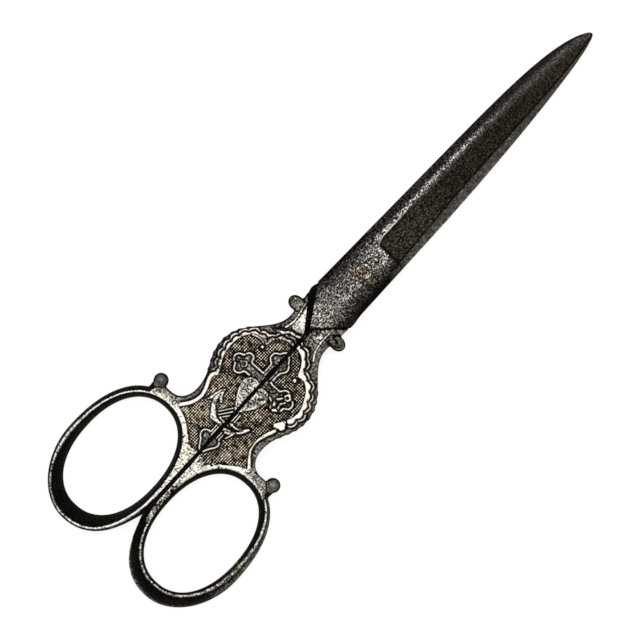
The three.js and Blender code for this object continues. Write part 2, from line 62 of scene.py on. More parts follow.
# Blades
RICASSO_END = 7.0
GRIND_STEP = 0.3
CROWN_SINK = 0.1  # the ricasso's crown lies this far below the handle's face
CROWN_H = STACK - CROWN_SINK - INNER
RICASSO_SIDE_H = 1.1
CROWN_POWER = 2.4
RIDGE_H = 1.9
RIDGE_DROP = 0.012  # for each millimetre along the blade
RIDGE_SLOPE = 0.3  # most height for each millimetre of width
RIDGE_PLACE = 0.32  # share of the width from back to ridge
BACK_H = 1.0
BACK_DROP = 0.005
EDGE_LAND = 0.12
EDGE_SWEEP = 0.6  # the edge sweeps in by this much past the ricasso
EDGE_SWEEP_END = 30
HOLLOW_POWER = 1.6
HOLLOW_LIP = 0.4  # from the ridge to the sharp side of the hollow
HOLLOW_SINK = 0.12
HOLLOW_CORNER = (0.6, 2.0)  # cut off where the hollow starts
HOLLOW_SHARP = 0.1  # half the width of its sharp side
HOLLOW_SOFTENS = (1.5, 12, 36)  # that side gets this much wider between these places
HOLLOW_FADE = (25, 55)
TIP_WIDTH = 0.16
BASE_BULGE = 0.2
BASE_BULGE_Y = -11.2
BASE_BULGE_RUN = 1.9
BASE_Y = -12.4
BASE_APEX = -18.75
JOINT_ANGLE = 43
FREE_ANGLE = 57
FREE_DROP = 0.65
JOINT_GAP = 0.15
BLADE_STEPS = (64, 330)  # across and along
STEP_BUNCHING = 0.06  # the steps lie closer round the middle of the blade's length
BLADE_CREASE = 32  # degrees
FRONT_BLADE = {
    "ricasso": 6.5,
    "bulge": 0.3,
    "back": 6.2,
    "back_taper": 0.035,
    "back_nose": (10, 6.2, 0.65),
    "edge": 4.95,
    "edge_taper": 0.012,
    "edge_nose": (60, 2.0, 0.5),
    "tip": 2.0,
}
BACK_BLADE = {
    "ricasso": 5.98,
    "bulge": 0.8,
    "back": 6.5,
    "back_taper": 0.0,
    "back_nose": (20, 1.6, 0.5),
    "edge": 4.6,
    "edge_taper": 0.008,
    "edge_nose": (20, 2.8, 0.5),
    "tip": -2.0,
}

# Wear runs from 0, black dirt and painted shade, to 1, bright rubbed metal and painted highlights. A change
# is its amount, and where it starts and ends
DIRT_AND_SHADE = 0.9  # what a dark line takes from the wear: dirt in seams, painted shade beside raised lines
DIRT_HALF = 0.26  # half the width of the dirt in a seam
BRIGHT = 0.92
RICASSO_MIDDLE = 0.475  # its brightest place from back to edge
RICASSO_DULL = 0.12
# The ricasso's glow is a painted highlight on its crown, and the darkening of its sides is painted shade
RICASSO_GLOW = 0.26
GLOW_ABOVE_PIN = (0.11, 1, 4)
GLOW_AT_BASE = (0.1, 9, 15)
GLOW_HALF = 0.15
GLOW_WIDER = 0.17  # toward the base
GLOW_END = 0.9
BASE_RUN = (7, 11)
SIDE_SHADE = (0.9, 0.75, 0.92)
STEP_LIP = (-0.35, 0.25)  # place before the step, and half width, of a painted highlight on the step's lip
STEP_LIP_RUN = (0.5, 1.2, 3.0)  # from the ridge to its full strength, its fading and its end
STEP_LIP_HIGHLIGHT = 0.3
STRIP_SIDE = (5.05, 5.3)  # the edge's strip runs on into the ricasso
STRIP_START = (2.5, 5)
STRIP_WEAR = 0.28
STRIP_LINE = (4.98, 0.16)  # place and half width of the painted shadow line beside the strip
STRIP_LINE_START = (5, 6)
# The bright band and sharp line on the ridge are rubbed metal with a painted highlight
BAND_OFF = 0.42  # from the ridge to the middle of the bright band on its back
BAND_SHIFTS = ((0.42, 40, 52), (0.15, 52, 62))
BAND_EDGE_HALF = 0.5
BAND_EDGE_GROWS = ((0.4, 13, 18), (0.15, 30, 50))
BAND_BACK_HALF = 0.52
BAND_BACK_GROWS = (0.18, 40, 60)
BAND_WEAR_AND_SHEEN = 0.4
BAND_FLASH = (0.12, 40, 4)  # amount, place and half length of a brighter stretch
BAND_FADE = (0.14, 42, 56)
RIDGE_LINE = (-0.34, 0.25)  # place beside the hollow, and half width, of the sharp bright line
RIDGE_LINE_END = (0.4, 0.9)
RIDGE_LINE_FADES = ((0.75, 12.5, 19), (0.25, 26, 45))
RIDGE_LINE_WEAR_AND_SHEEN = 0.3
BACK_WEAR = 0.13
FLANK_GLOW = (0.16, 0.12, 0.26)
FLANK_GLOW_FADE = (0.8, 25, 42)
HOLLOW_WEAR = 0.24
HOLLOW_CHANGES = ((-0.075, 20, 30), (0.06, 46, 72))
HOLLOW_LINE = (0.12, 0.2)  # place and half width of the painted shade line inside the hollow's edge
HOLLOW_LINE_FADE = (12, 24)
EDGE_LINE = (0.12, 0.3)  # and of the painted shade along the blade's edge
EDGE_SHADE = 0.98
STEP_LINE = (0.02, 0.24)  # and of the painted shadow at the step
STEP_LINE_START = (0.2, 0.6)
STEP_SHADOW = 0.97
WALL_SHADE = 0.12
WALL_FACING = (0.2, 0.5)  # how level the metal is
INNER_FACING = (0.5, 0.9)
INNER_WEAR = 0.66
INNER_CHANGE = (-0.2, 20, 32)
INNER_START = (-9, -3)
FLANK_GRAIN = 0.6
FLANK_GRAIN_FADE = (25, 45)
HOLLOW_GRAIN = 0.25
TIP_CALM = (0.6, 36, 58)
LINE_CALM = 1.6
LINE_CALM_FADE = (12, 20)
SIDE_CALM = (1.5, 0.7, 0.9)
INNER_CALM = 0.6
BLADE_GRAIN = 0.7

# Tang, with a root as wide as the blade's base
TANG_H = 0.8
TANG_OUTLINE = [
    (-0.25, -17.5), (6.45, -11.7), (6.45, -13.6), (4.2, -16.0), (4.2, -34.75), (1.6, -34.75), (1.6, -22.4),
    (0.01, -22.4), (0.01, -20.7), (-0.25, -20.3),
]

# Pivot pin
PIN_R = 1.6
PIN_HEAD_R = 2.15
PIN_HEAD_H = 0.8
PIN_ROUND = [(0.24, 0.01), (0.1, 0.06), (0, 0.2)]  # steps in and down of the rounded edge of an end
PIN_PLAY = 0.06
PIN_STEPS = 72
HAMMER_DEPTH = 0.05
HAMMER_GRAIN = 0.9
PIN_WEAR = 0.33
PIN_HIGHLIGHTS = [(1.0, 1.9, 0.5), (1.0, -0.15, 0.35), (0.7, math.pi, 0.3)]  # painted highlights: strength, direction, half spread
PIN_HIGHLIGHT = 0.8
PIN_HIGHLIGHT_RING = (1.68, 0.15)
PIN_DARK_RING = (1.95, 0.1)
PIN_RIM = (2.07, 2.15)

# Handle
TOP_HALF = 6.8
NECK_TOP = 6.6
NECK = (5.9, -19.65)
PANEL = (14.1, -35.45)
WAIST = (10.7, -47.85)
FOOT = (14.6, -52.75)
NECK_PULL = 6.2  # how strongly the outline runs straight on at each of these points
PANEL_PULL = (7.5, 5.5)  # above and below it
WAIST_PULL = (5.5, 2.8)
FOOT_PULL = 2.3
SHOULDER_DROP = 2.55
SHOULDER_ANGLE = 54
SHOULDER_TOP = -13.5
LIP_TOP = -12.7
PARTING = 0.08  # half the gap between the handles, at the middle of their thickness
PARTING_LEAN = 0.09  # lean of the gap for each millimetre of thickness, so that nothing shows through
PARTING_EDGE = 0.45  # where the chamfered edges of the gap start on the faces
PARTING_EDGE_H = 1.1
HANDLE_SHIFT = 0.3
PLATE_BEVEL = 0.6
PLATE_END = [(1.5, -79.5), (0.75, -77.0), (0.45, -74.0), (0.2, -70.0), (-TOP_HALF, -70.0)]
BOW_CENTRE = (13.42, -72.35)
HOLE_HALF = (10.8, 15.85)
HOLE_POWER = 2.2
BOW_SIDE = 2.54
BOW_OUTSIDE = 3.11
BOW_TOP = 2.45
BOW_END = 4.35
BOW_WIDEST = -2.65  # where the outer side is widest, from the middle of the hole
BOW_POWERS = (2.32, 2.25, 2.25, 1.95)  # of its four quarters, from the outer side and round by the panel
BOW_CREST = (0.7, 0.41)  # share of the bow's width from hole to crest, on the front face and the other
BOW_FLARE = (-0.52, 0.49)  # and what it gains toward the far end
BOW_INNER_CREST = (0.62, 0.24)  # of the other face, on the side by the parting
BOW_LEAN = 1.1
BOW_ROUND = 2.0  # power of the short slopes of its section
BOW_STRAIGHT = 1.3  # and of the long ones
BOW_STEPS = (160, 40)
WEB_OUTLINE = [  # fills the corner between the bows, below their crests
    (-1.0, -66.0), (2.0, -66.0), (2.0, -78.0), (4.0, -84.5), (3.6, -86.4), (1.8, -84.0), (1.05, -82.0),
    (0.4, -80.1), (0.0, -79.1), (-1.0, -79.0),
]
WEB_SINK = 0.9
KNOB = (18.4, -52.33)
KNOB_R = 1.85
COLLAR_R = (1.5, 1.25)
COLLAR_LENGTH = 3.0
COLLAR_OFFSET = (-0.1, -1.6)
SCROLL = (7.3, -16.75)
SCROLL_R = 1.75
SCROLL_STRETCH = 1.2  # the scroll is an oval that reaches into the neck
SCROLL_INSET = 0.35
SCROLL_HALF_H = 1.85
SCALLOP_R = 1.25
SCALLOP_PITCH = 2.15
SCALLOP_STAND = 0.2
SCALLOP_TALL = 1.35
SCALLOPS = 8
SKIN_VOXEL = 0.25
CARVED_FROM = BOW_CENTRE[1] + HOLE_HALF[1] - 4  # the faces are carved from here up
CARVED_LEVEL = 0.75  # faces at least this level get a finer mesh for it
BALL_STEPS = {"u_segments": 40, "v_segments": 24}

# Carving
RIM_PITCH = 2.24  # of the scallops on the worn rim
FIELD_DEPTH = 0.55
FLANK_WEAR = 0.39
FLANK_CALM = 0.3
HEART_GRAIN = 0.5
SOFT = 0.1  # half the width over which one level goes over into another
RAGGED_END = (0.45, 56.5, 58.5)  # of the field
RIM_TOP = (-30, -27)
RIM_GROOVE = (0.22, 0.2)  # place outside the rim, and half width
RIM_BEAD = (0.68, 0.2)
RIM_LAST_GROOVE = (1.1, 0.22)
RIM_WAIST = (-48.8, 3.0)
RIM_OUTSIDE = (9.5, 12.5)
FIELD_WEAR = 0.35
FIELD_RUBBED = (38, 50)
FIELD_LINE = (0.28, 0.16)  # the painted shade along its edge
SCUFF_X = (1.3, 1.3)
SCUFF_Y = (-60.0, 1.0)
# Of the rim: the scallops' phase, its least width and the scallops' depth, how bright it is, what its top is
# duller, what the plain rim is narrower at the waist and duller farther out, and how rubbed the field is
RIM_RIGHT = {
    "phase": 0.18, "band": 0.75, "deep": 0.6, "bright": 1.1,
    "top_dull": 0.0, "waist": 0.5, "dull": 0.45, "rubbing_and_highlight": 0.07,
}
RIM_LEFT = {
    "phase": 0.9, "band": 0.4, "deep": 0.5, "bright": 0.95,
    "top_dull": 0.3, "waist": 0.1, "dull": 0.25, "rubbing_and_highlight": 0.17,
}
VOLUTE_RIGHT = (7.0, -17.05)
VOLUTE_LEFT = (7.0, -16.45)
VOLUTE_WEAR = (0.42, 0.44)

# Wear of the handles. Directions and half spreads on the bows are in degrees, round from the outer side
BOW_SAG = (-10, 16)
OUTER_SIDE = (-5, 38)
OUTER_BEHIND = (-18, 28)
INNER_SIDE = (105, 140)
THIN_CREST = ((1, 5, 25), (-1, 80, 100))
# How level the metal is where the crest starts and ends, and what sag, a wide and a thin crest change in it
CREST_LEVELS = ((0.84, 0.05, -0.14, 0.06), (0.97, 0.015, -0.06, 0.015))
CREST_DROP = (0.2, 0.5)  # how far below a face its wear ends
CREST_DULL = (0.38, 0.25)  # on the front face's outer side, and toward the far end of the rest
CREST_INNER_RUB = (0.13, 0.25, 0.6)
CREST_WEAR = 0.95
CREST_CHANGES = [(0.14, 45, 35), (-0.05, -20, 25), (-0.25, -65, 20)]
GREY_FRONT = ((0.28, -60, -20), (-0.28, 45, 95))
GREY_BEHIND = 0.1
GREY_LOW = 0.22
GREY_LOW_MORE = (0.24, -118, 24)
GREY_LOW_RISE = (-0.6, 0.6)  # down from the middle of the thickness
OUTER_SLOPE = (0.3, 0.7)  # how far the metal leans outward
HOLE_GLOW = (0.36, 0.7, 0.95)
HOLE_GLOW_SIDE = (-3, 20)
CREST_LINE = (0.8, 0.07)
KNOB_WEAR = (0.47, 0.36)  # of the front face and of the other
KNOB_EDGE = (1.8, 2.1)
KNOB_SIDE_SHADE = 0.06
KNOB_CALM = 0.75
BRIGHT_CALM = 0.6
BRIGHT_RUN = (0.94, 1.06)
FACING = (0.45, 0.85)  # how level the metal is that counts as a face
BOW_CLEAR = 1.9  # from the hole to where the panel's wear starts
BOW_CLEAR_RUN = (0.98, 1.03)
KNOB_SIDE = (KNOB[0] + 0.6, KNOB[0] + 1.4)
SUNK_SHADE = (0.95, 0.03, 0.22)
SLOT_WALL = (0.08, 0.3, 0.7)
DULL_WEAR = 0.36
DULL_GRAIN = 0.9
DULL_LENGTH = ((0.35, 59, 61), (0.65, 66, 68.5), (-1, 75, 78))
DULL_WIDTH = ((1, 0.7, 0.95), (-1, 1.6, 2.2))


# Shaping

def shown(mesh, name):
    """The shaped piece as an object, brought from millimetres to metres."""
    mesh.transform(Matrix.Scale(MM, 4))
    mesh.shade_smooth()
    piece = bpy.data.objects.new(name, mesh)
    bpy.context.scene.collection.objects.link(piece)
    return piece


def mesh_of(bm):
    mesh = bpy.data.meshes.new("shape")
    bm.to_mesh(mesh)
    bm.free()
    return mesh


def added(bm, other):
    """Puts one shape beside another in the same bmesh."""
    mesh = mesh_of(other)
    bm.from_mesh(mesh)
    bpy.data.meshes.remove(mesh)


def evaluated(mesh, kind, **settings):
    """The mesh that one modifier makes of another."""
    blank = bpy.data.objects.new("blank", mesh)
    bpy.context.scene.collection.objects.link(blank)
    modifier = blank.modifiers.new(kind, kind)
    for key, value in settings.items():
        setattr(modifier, key, value)
    bpy.context.view_layer.update()
    made = bpy.data.meshes.new_from_object(blank.evaluated_get(bpy.context.evaluated_depsgraph_get()))
    bpy.data.objects.remove(blank)
    bpy.data.meshes.remove(mesh)
    return made


def combined(mesh, bm, operation):
    """A mesh joined with another shape, or cut by it."""
    other = bpy.data.objects.new("other", mesh_of(bm))
    bpy.context.scene.collection.objects.link(other)
    made = evaluated(mesh, "BOOLEAN", object=other, operation=operation, solver="EXACT")
    bpy.data.meshes.remove(other.data)
    return made


def raised(bm, outline, low, high):
    """A flat outline given its thickness."""
    face = bm.faces.new([bm.verts.new((x, y, low)) for x, y in outline])
    made = bmesh.ops.extrude_face_region(bm, geom=[face])["geom"]
    top = [vert for vert in made if isinstance(vert, bmesh.types.BMVert)]
    bmesh.ops.translate(bm, vec=(0, 0, high - low), verts=top)
    bmesh.ops.recalc_face_normals(bm, faces=bm.faces[:])


def cut(bm, point, normal):
    """Cuts away what lies on the normal's side of a plane, and closes the cut."""
    everything = bm.verts[:] + bm.edges[:] + bm.faces[:]
    bmesh.ops.bisect_plane(bm, geom=everything, plane_co=point, plane_no=normal, clear_outer=True)
    bmesh.ops.holes_fill(bm, edges=[edge for edge in bm.edges if edge.is_boundary])


def edges_of(faces):
    """The edges of some faces, each once, in the order of the faces."""
    return list(dict.fromkeys(edge for face in faces for edge in face.edges))


def square_to(degrees):
    """The direction square to a sloping line, on its upper side."""
    slope = math.radians(degrees)
    return Vector((-math.sin(slope), math.cos(slope), 0))


def bezier(start, pull, reach, end, steps):
    points = [Vector((*point, 0)) for point in (start, pull, reach, end)]
    return [(point.x, point.y) for point in geometry.interpolate_bezier(*points, steps)][1:]


def coordinates(mesh):
    places = np.empty(len(mesh.vertices) * 3)
    mesh.vertices.foreach_get("co", places)
    normals = np.empty(len(mesh.vertices) * 3)
    mesh.vertex_normals.foreach_get("vector", normals)
    return places.reshape(-1, 3), normals.reshape(-1, 3)


def keep(mesh, **values):
    """Stores numbers for each vertex, for the materials."""
    for name, numbers in values.items():
        attribute = mesh.attributes.new(name, "FLOAT", "POINT")
        attribute.data.foreach_set("value", np.ascontiguousarray(numbers, dtype=np.float32))


def rise(values, low, high):
    """0 up to low, 1 from high, and smooth between."""
    part = np.clip((values - low) / (high - low), 0, 1)
    return part * part * (3 - 2 * part)


def change(values, *steps):
    """The sum of some changes, each given as its amount and where it starts and ends."""
    return sum(amount * rise(values, start, end) for amount, start, end in steps)


def bump(distance, half):
    return np.exp(-((distance / half) ** 2))


def line(distance, place_and_half):
    """A soft line at a place."""
    place, half = place_and_half
    return bump(distance - place, half)


# Lines and areas of the carving

def flowing(points, closed=False, steps=5):
    """A smooth line through the points."""
    points = np.array(points, float)
    before = points[-1] if closed else 2 * points[0] - points[1]
    after = points[:2] if closed else [2 * points[-1] - points[-2]]
    chain = np.vstack([[before], points, after])
    part = np.linspace(0, 1, steps, endpoint=False)[:, None]
    spans = []
    for a, b, c, d in zip(chain, chain[1:], chain[2:], chain[3:]):
        curve = 2 * b + (c - a) * part + (2 * a - 5 * b + 4 * c - d) * part**2
        spans.append((curve + (3 * b - a - 3 * c + d) * part**3) / 2)
    smooth = np.vstack(spans)
    return smooth if closed else np.vstack([smooth, points[-1]])


def nearest(path, x, y):
    """Distance of each place from a path, and how far along the path the nearest point is."""
    best = np.full(x.shape, np.inf)
    along = np.zeros(x.shape)
    travelled = 0.0
    for start, end in zip(path, path[1:]):
        span = end - start
        length = np.hypot(*span)
        if length == 0:
            continue
        part = np.clip(((x - start[0]) * span[0] + (y - start[1]) * span[1]) / length**2, 0, 1)
        distance = np.hypot(x - start[0] - part * span[0], y - start[1] - part * span[1])
        closer = distance < best
        best = np.where(closer, distance, best)
        along = np.where(closer, travelled + part * length, along)
        travelled += length
    return best, along


def depth_in(outline, x, y):
    """Distance from the edge of a closed area: positive inside it and negative outside."""
    ring = np.vstack([outline, outline[:1]])
    inside = np.zeros(x.shape, bool)
    for start, end in zip(ring, ring[1:]):
        if start[1] == end[1]:
            continue
        crossing = start[0] + (y - start[1]) * (end[0] - start[0]) / (end[1] - start[1])
        inside ^= ((start[1] > y) != (end[1] > y)) & (x < crossing)
    distance = nearest(ring, x, y)[0]
    return np.where(inside, distance, -distance)


class Carving:
    """One carved face of a handle: its level below the face, how bright it is from wear and painted shade,
    and its hatching.
    """

    def __init__(self, x, y):
        self.x = x
        self.y = y
        self.everywhere = np.arange(len(x))
        self.level = np.zeros(x.shape)
        self.wear = np.full(x.shape, FLANK_WEAR)
        self.hatch = np.zeros(x.shape)
        self.calm = np.full(x.shape, FLANK_CALM)

    def near(self, path, margin=2.0):
        low = path.min(0) - margin
        high = path.max(0) + margin
        across = (self.x > low[0]) & (self.x < high[0])
        return np.nonzero(across & (self.y > low[1]) & (self.y < high[1]))[0]

    def blend(self, places, share, level, wear, hatch=0.0):
        self.level[places] += (level - self.level[places]) * share
        self.wear[places] += (wear - self.wear[places]) * share
        self.hatch[places] += (hatch - self.hatch[places]) * share
        self.calm[places] *= 1 - share

    def spread(self, share, level, wear, hatch=0.0):
        """Blends over the whole face."""
        self.blend(self.everywhere, share, level, wear, hatch)

    def bead(self, points, level, wear=1.1, half=0.24, bend=True):
        """A raised line, with painted shade along both its sides."""
        path = flowing(points) if bend else np.array(points, float)
        places = self.near(path)
        distance = nearest(path, self.x[places], self.y[places])[0]
        beside = bump(distance - 2.15 * half, 0.75 * half)
        self.wear[places] *= 1 - DIRT_AND_SHADE * beside
        self.hatch[places] *= 1 - beside
        self.blend(places, 1 - rise(distance, 0.6 * half, 1.5 * half), level, wear)

    def groove(self, points, depth, half=0.18):
        path = flowing(points)
        places = self.near(path)
        share = bump(nearest(path, self.x[places], self.y[places])[0], half)
        self.level[places] -= depth * share
        self.wear[places] *= 1 - DIRT_AND_SHADE * share
        self.hatch[places] *= 1 - share

    def area(self, outline, level, wear, soft=0.12):
        """A flat area at its own level."""
        outline = np.array(outline, float)
        places = self.near(outline)
        depth = depth_in(outline, self.x[places], self.y[places])
        self.blend(places, rise(depth, -soft, soft), level, wear)
        return places, depth


# The carving of the two faces: distance from the parting line, and place along the handle

FIELD_RIGHT = [
    [
        (-1, -24.6), (0.4, -24.6), (1.5, -24.8), (2.6, -25.3), (3.5, -26.2), (4.3, -27.4), (4.8, -28.6),
        (5.0, -29.5),
    ],
    [
        (5.0, -29.5), (5.8, -29.3), (7.0, -29.25), (7.9, -29.7), (8.7, -30.4), (9.4, -31.3), (10.0, -32.4),
        (10.6, -33.7), (11.0, -34.9), (11.1, -36.0), (10.9, -37.3), (10.4, -38.5), (9.8, -39.4), (8.6, -41.3),
    ],
    [
        (8.6, -41.3), (9.0, -42.2), (9.35, -42.8), (8.9, -43.8), (8.5, -45.0), (8.2, -46.5), (8.15, -48.0),
        (8.5, -50.0), (9.1, -51.2), (9.8, -52.2), (11.1, -53.8),
    ],
    [
        (11.1, -53.8), (9.5, -54.5), (8.2, -55.4), (6.9, -56.4), (5.5, -57.5), (4.3, -58.6), (3.5, -59.5),
        (2.4, -59.6), (1.2, -59.1), (-1, -59.0),
    ],
]
FIELD_LEFT = [
    [
        (-1, -24.75), (0.7, -24.75), (2.2, -24.8), (3.3, -25.2), (4.3, -26.2), (4.95, -27.3), (5.25, -28.5),
        (5.35, -29.4),
    ],
    [
        (5.35, -29.4), (6.1, -28.6), (7.2, -28.2), (8.4, -28.5), (9.4, -29.0), (10.2, -29.8), (10.9, -31.0),
        (11.4, -32.5), (11.6, -34.0), (11.5, -35.5), (11.3, -37.0), (10.9, -38.2), (10.3, -39.3),
        (9.0, -41.8),
    ],
    [
        (9.0, -41.8), (9.6, -42.6), (9.75, -43.2), (9.3, -44.5), (8.7, -46.0), (8.35, -47.5), (8.3, -48.5),
        (8.6, -50.0), (9.2, -51.5), (10.8, -53.7),
    ],
    [
        (10.8, -53.7), (9.5, -54.2), (8.0, -54.8), (6.5, -55.8), (5.0, -57.1), (3.9, -58.0), (2.8, -58.8),
        (1.6, -58.9), (-1, -58.6),
    ],
]


def sunk_field(carving, runs, phase, band, deep, bright, top_dull, waist, dull, rubbing_and_highlight):
    """The hatched field, and round it the worn rim: scalloped above the waist and plain below it."""
    lines = [flowing(run) for run in runs]
    x, y = carving.x, carving.y
    depth = depth_in(np.vstack(lines), x, y)
    # The field's far end is rubbed away unevenly
    ragged = np.sin(3.1 * x + 1.7 * y) * np.sin(2.3 * x - 3.9 * y)
    depth += ragged * change(-y, RAGGED_END)
    out_upper, along = nearest(np.vstack(lines[:2]), x, y)
    out_side = nearest(lines[2], x, y)[0]
    out_low = nearest(lines[3], x, y)[0]
    outside = 1 - rise(depth, -SOFT, SOFT)

    # The scalloped rim, a groove, a thin bead broken between the scallops, and a last groove
    is_upper = outside * rise(np.minimum(out_side, out_low) - out_upper, -SOFT, SOFT)
    scallop = np.abs(np.sin(math.pi * (along + phase) / RIM_PITCH))
    past = out_upper - band - deep * scallop
    carving.spread(is_upper * rise(-past, -SOFT, SOFT), 0.0, bright - top_dull * rise(y, *RIM_TOP))
    carving.spread(is_upper * line(past, RIM_GROOVE), -0.35, 0.0)
    carving.spread(is_upper * line(past, RIM_BEAD), -0.05, 1.05 * (1 - 0.7 * bump(scallop, 0.3)))
    carving.spread(is_upper * line(past, RIM_LAST_GROOVE), -0.3, 0.05)

    # The plain rim beside the waist and above the bow
    is_side = outside * rise(np.minimum(out_upper, out_low) - out_side, -SOFT, SOFT)
    width = 1.0 - waist * line(y, RIM_WAIST)
    carving.spread(is_side * rise(width - out_side, -SOFT, SOFT), 0.0, 1.15)
    carving.spread(is_side * line(out_side - width, RIM_GROOVE), -0.3, 0.02)
    is_low = outside * rise(np.minimum(out_upper, out_side) - out_low, -SOFT, SOFT)
    carving.spread(is_low, 0.0, 1.05 - dull * rise(x, *RIM_OUTSIDE))

    # The field itself, with painted shade along its edge, and the scuffed metal below its far end
    field_wear = FIELD_WEAR + rubbing_and_highlight * rise(-y, *FIELD_RUBBED)
    carving.spread(rise(depth, -SOFT, SOFT), -FIELD_DEPTH, field_wear, hatch=1.0)
    carving.wear *= 1 - 0.6 * line(depth, FIELD_LINE)
    scuffed = outside * line(x, SCUFF_X) * line(y, SCUFF_Y)
    carving.wear -= 0.3 * scuffed
    carving.calm -= 0.6 * scuffed


def curl(carving, points, ball):
    """A thin tendril that ends in a small ball."""
    carving.bead(points, -0.05, half=0.18)
    x, y, radius = ball
    distance = np.hypot(carving.x - x, carving.y - y)
    # A dark ring of painted shade round the ball
    carving.spread(bump(distance - radius - 0.25, 0.2), -FIELD_DEPTH, 0.05)
    carving.spread(1 - rise(distance, radius - 0.08, radius + 0.12), -0.05, 1.1)


def heart(carving, points):
    """Half of a domed heart with a thin raised edge."""
    places, depth = carving.area(flowing(points, closed=True), -0.3, 0.62)
    inside = rise(depth, 0, 0.2)
    carving.level[places] += inside * 0.26 * np.clip(depth / 1.8, 0, 1) ** 0.6
    # Painted shade just outside the heart's raised edge
    carving.wear[places] *= 1 - DIRT_AND_SHADE * bump(depth + 0.3, 0.22)
    carving.calm[places] -= HEART_GRAIN * inside
    carving.blend(places, bump(np.abs(depth) - 0.1, 0.15), -0.1, 0.9)


def emblem_right(carving):
    """This half of the cross, the anchor below it, the heart over both, and the leaf on the rim."""
    bead = carving.bead
    cross = [
        [
            (0.4, -27.2), (1.0, -27.6), (1.5, -28.4), (2.1, -29.0), (2.5, -29.8), (2.4, -30.6), (1.7, -31.6),
            (1.5, -32.6), (1.5, -34.6),
        ],
        [
            (1.5, -34.75), (2.4, -34.85), (4.4, -34.8), (4.9, -34.2), (5.6, -33.6), (6.3, -33.6),
            (7.0, -34.0),
        ],
        [
            (7.6, -34.6), (8.5, -34.7), (9.0, -35.3), (9.1, -36.0), (8.8, -36.7), (7.9, -37.3), (7.8, -38.1),
            (7.2, -38.8),
        ],
        [(7.2, -38.8), (6.3, -38.9), (5.6, -39.4), (5.1, -38.8), (4.6, -38.0), (3.6, -37.5)],
    ]
    foot = [
        (1.45, -45.2), (1.45, -53.2), (2.0, -53.7), (2.3, -54.4), (2.1, -55.2), (1.6, -55.9), (1.0, -56.9),
        (0.5, -57.9),
    ]
    carving.area([(-1, -27.0), *sum(cross, []), (-1, -37.5)], -0.36, 0.3)
    carving.area([(-1, -45.2), *foot, (-1, -57.9)], -0.36, 0.36)
    for points in cross:
        bead(points, -0.08)

    # The worn relief on the arm of the cross
    ring = [(6.9 + 0.65 * math.cos(a), -34.8 + 0.65 * math.sin(a)) for a in np.linspace(0, 2 * math.pi, 13)]
    bead(ring, -0.05)
    bead([(5.3, -36.6), (6.0, -35.7)], -0.1)
    bead([(3.0, -36.2), (3.6, -35.6)], -0.15, wear=0.6)
    bead([(7.3, -36.0), (6.6, -37.0), (6.9, -38.2)], -0.1, half=0.2)
    bead([(5.3, -37.6), (5.6, -38.2)], -0.1, half=0.3)
    bead([(6.3, -39.4), (6.8, -38.9)], -0.1, half=0.26)
    bead([(0.8, -31.6), (0.8, -34.4)], -0.15, wear=0.7, half=0.16)

    # The anchor's shank and arm
    bead(foot[1:], -0.08)
    for x in (0.75, 1.4):
        bead([(x, -45.4), (x, -49.3)], -0.08, half=0.18)
        bead([(x + 0.05, -50.9), (x + 0.05, -53.3)], -0.08, half=0.18)
    bead([(1.2, -48.5), (2.6, -48.5), (3.7, -48.1), (5.1, -46.8)], -0.06, half=0.27)
    bead([(0.4, -50.6), (2.0, -50.0), (3.4, -49.3), (4.4, -48.3), (5.2, -46.7)], -0.06, half=0.3)
    bead([(1.4, -50.9), (2.2, -50.6), (3.2, -49.8)], -0.06, half=0.24)
    bead([(3.1, -50.2), (2.4, -51.9)], -0.08, half=0.22)

    curl(carving, [(5.0, -29.5), (5.2, -29.9), (5.1, -30.4)], (5.35, -30.55, 0.5))
    leaf = [
        (10.2, -39.3), (11.0, -40.1), (11.3, -41.0), (10.8, -41.6), (9.9, -41.8), (9.2, -42.1), (8.5, -41.7),
        (9.0, -41.1), (9.5, -40.4),
    ]
    places, depth = carving.area(flowing(leaf, closed=True), 0.0, 1.1)
    # Painted shade just outside the leaf's edge
    carving.wear[places] *= 1 - bump(depth + 0.32, 0.24)
    half_heart = [
        (-0.6, -37.7), (0.6, -37.5), (1.5, -37.2), (2.7, -37.4), (3.4, -38.3), (3.6, -39.2), (3.3, -40.5),
        (2.7, -42.0), (1.8, -43.3), (0.5, -45.0), (-0.6, -46.0),
    ]
    heart(carving, half_heart)


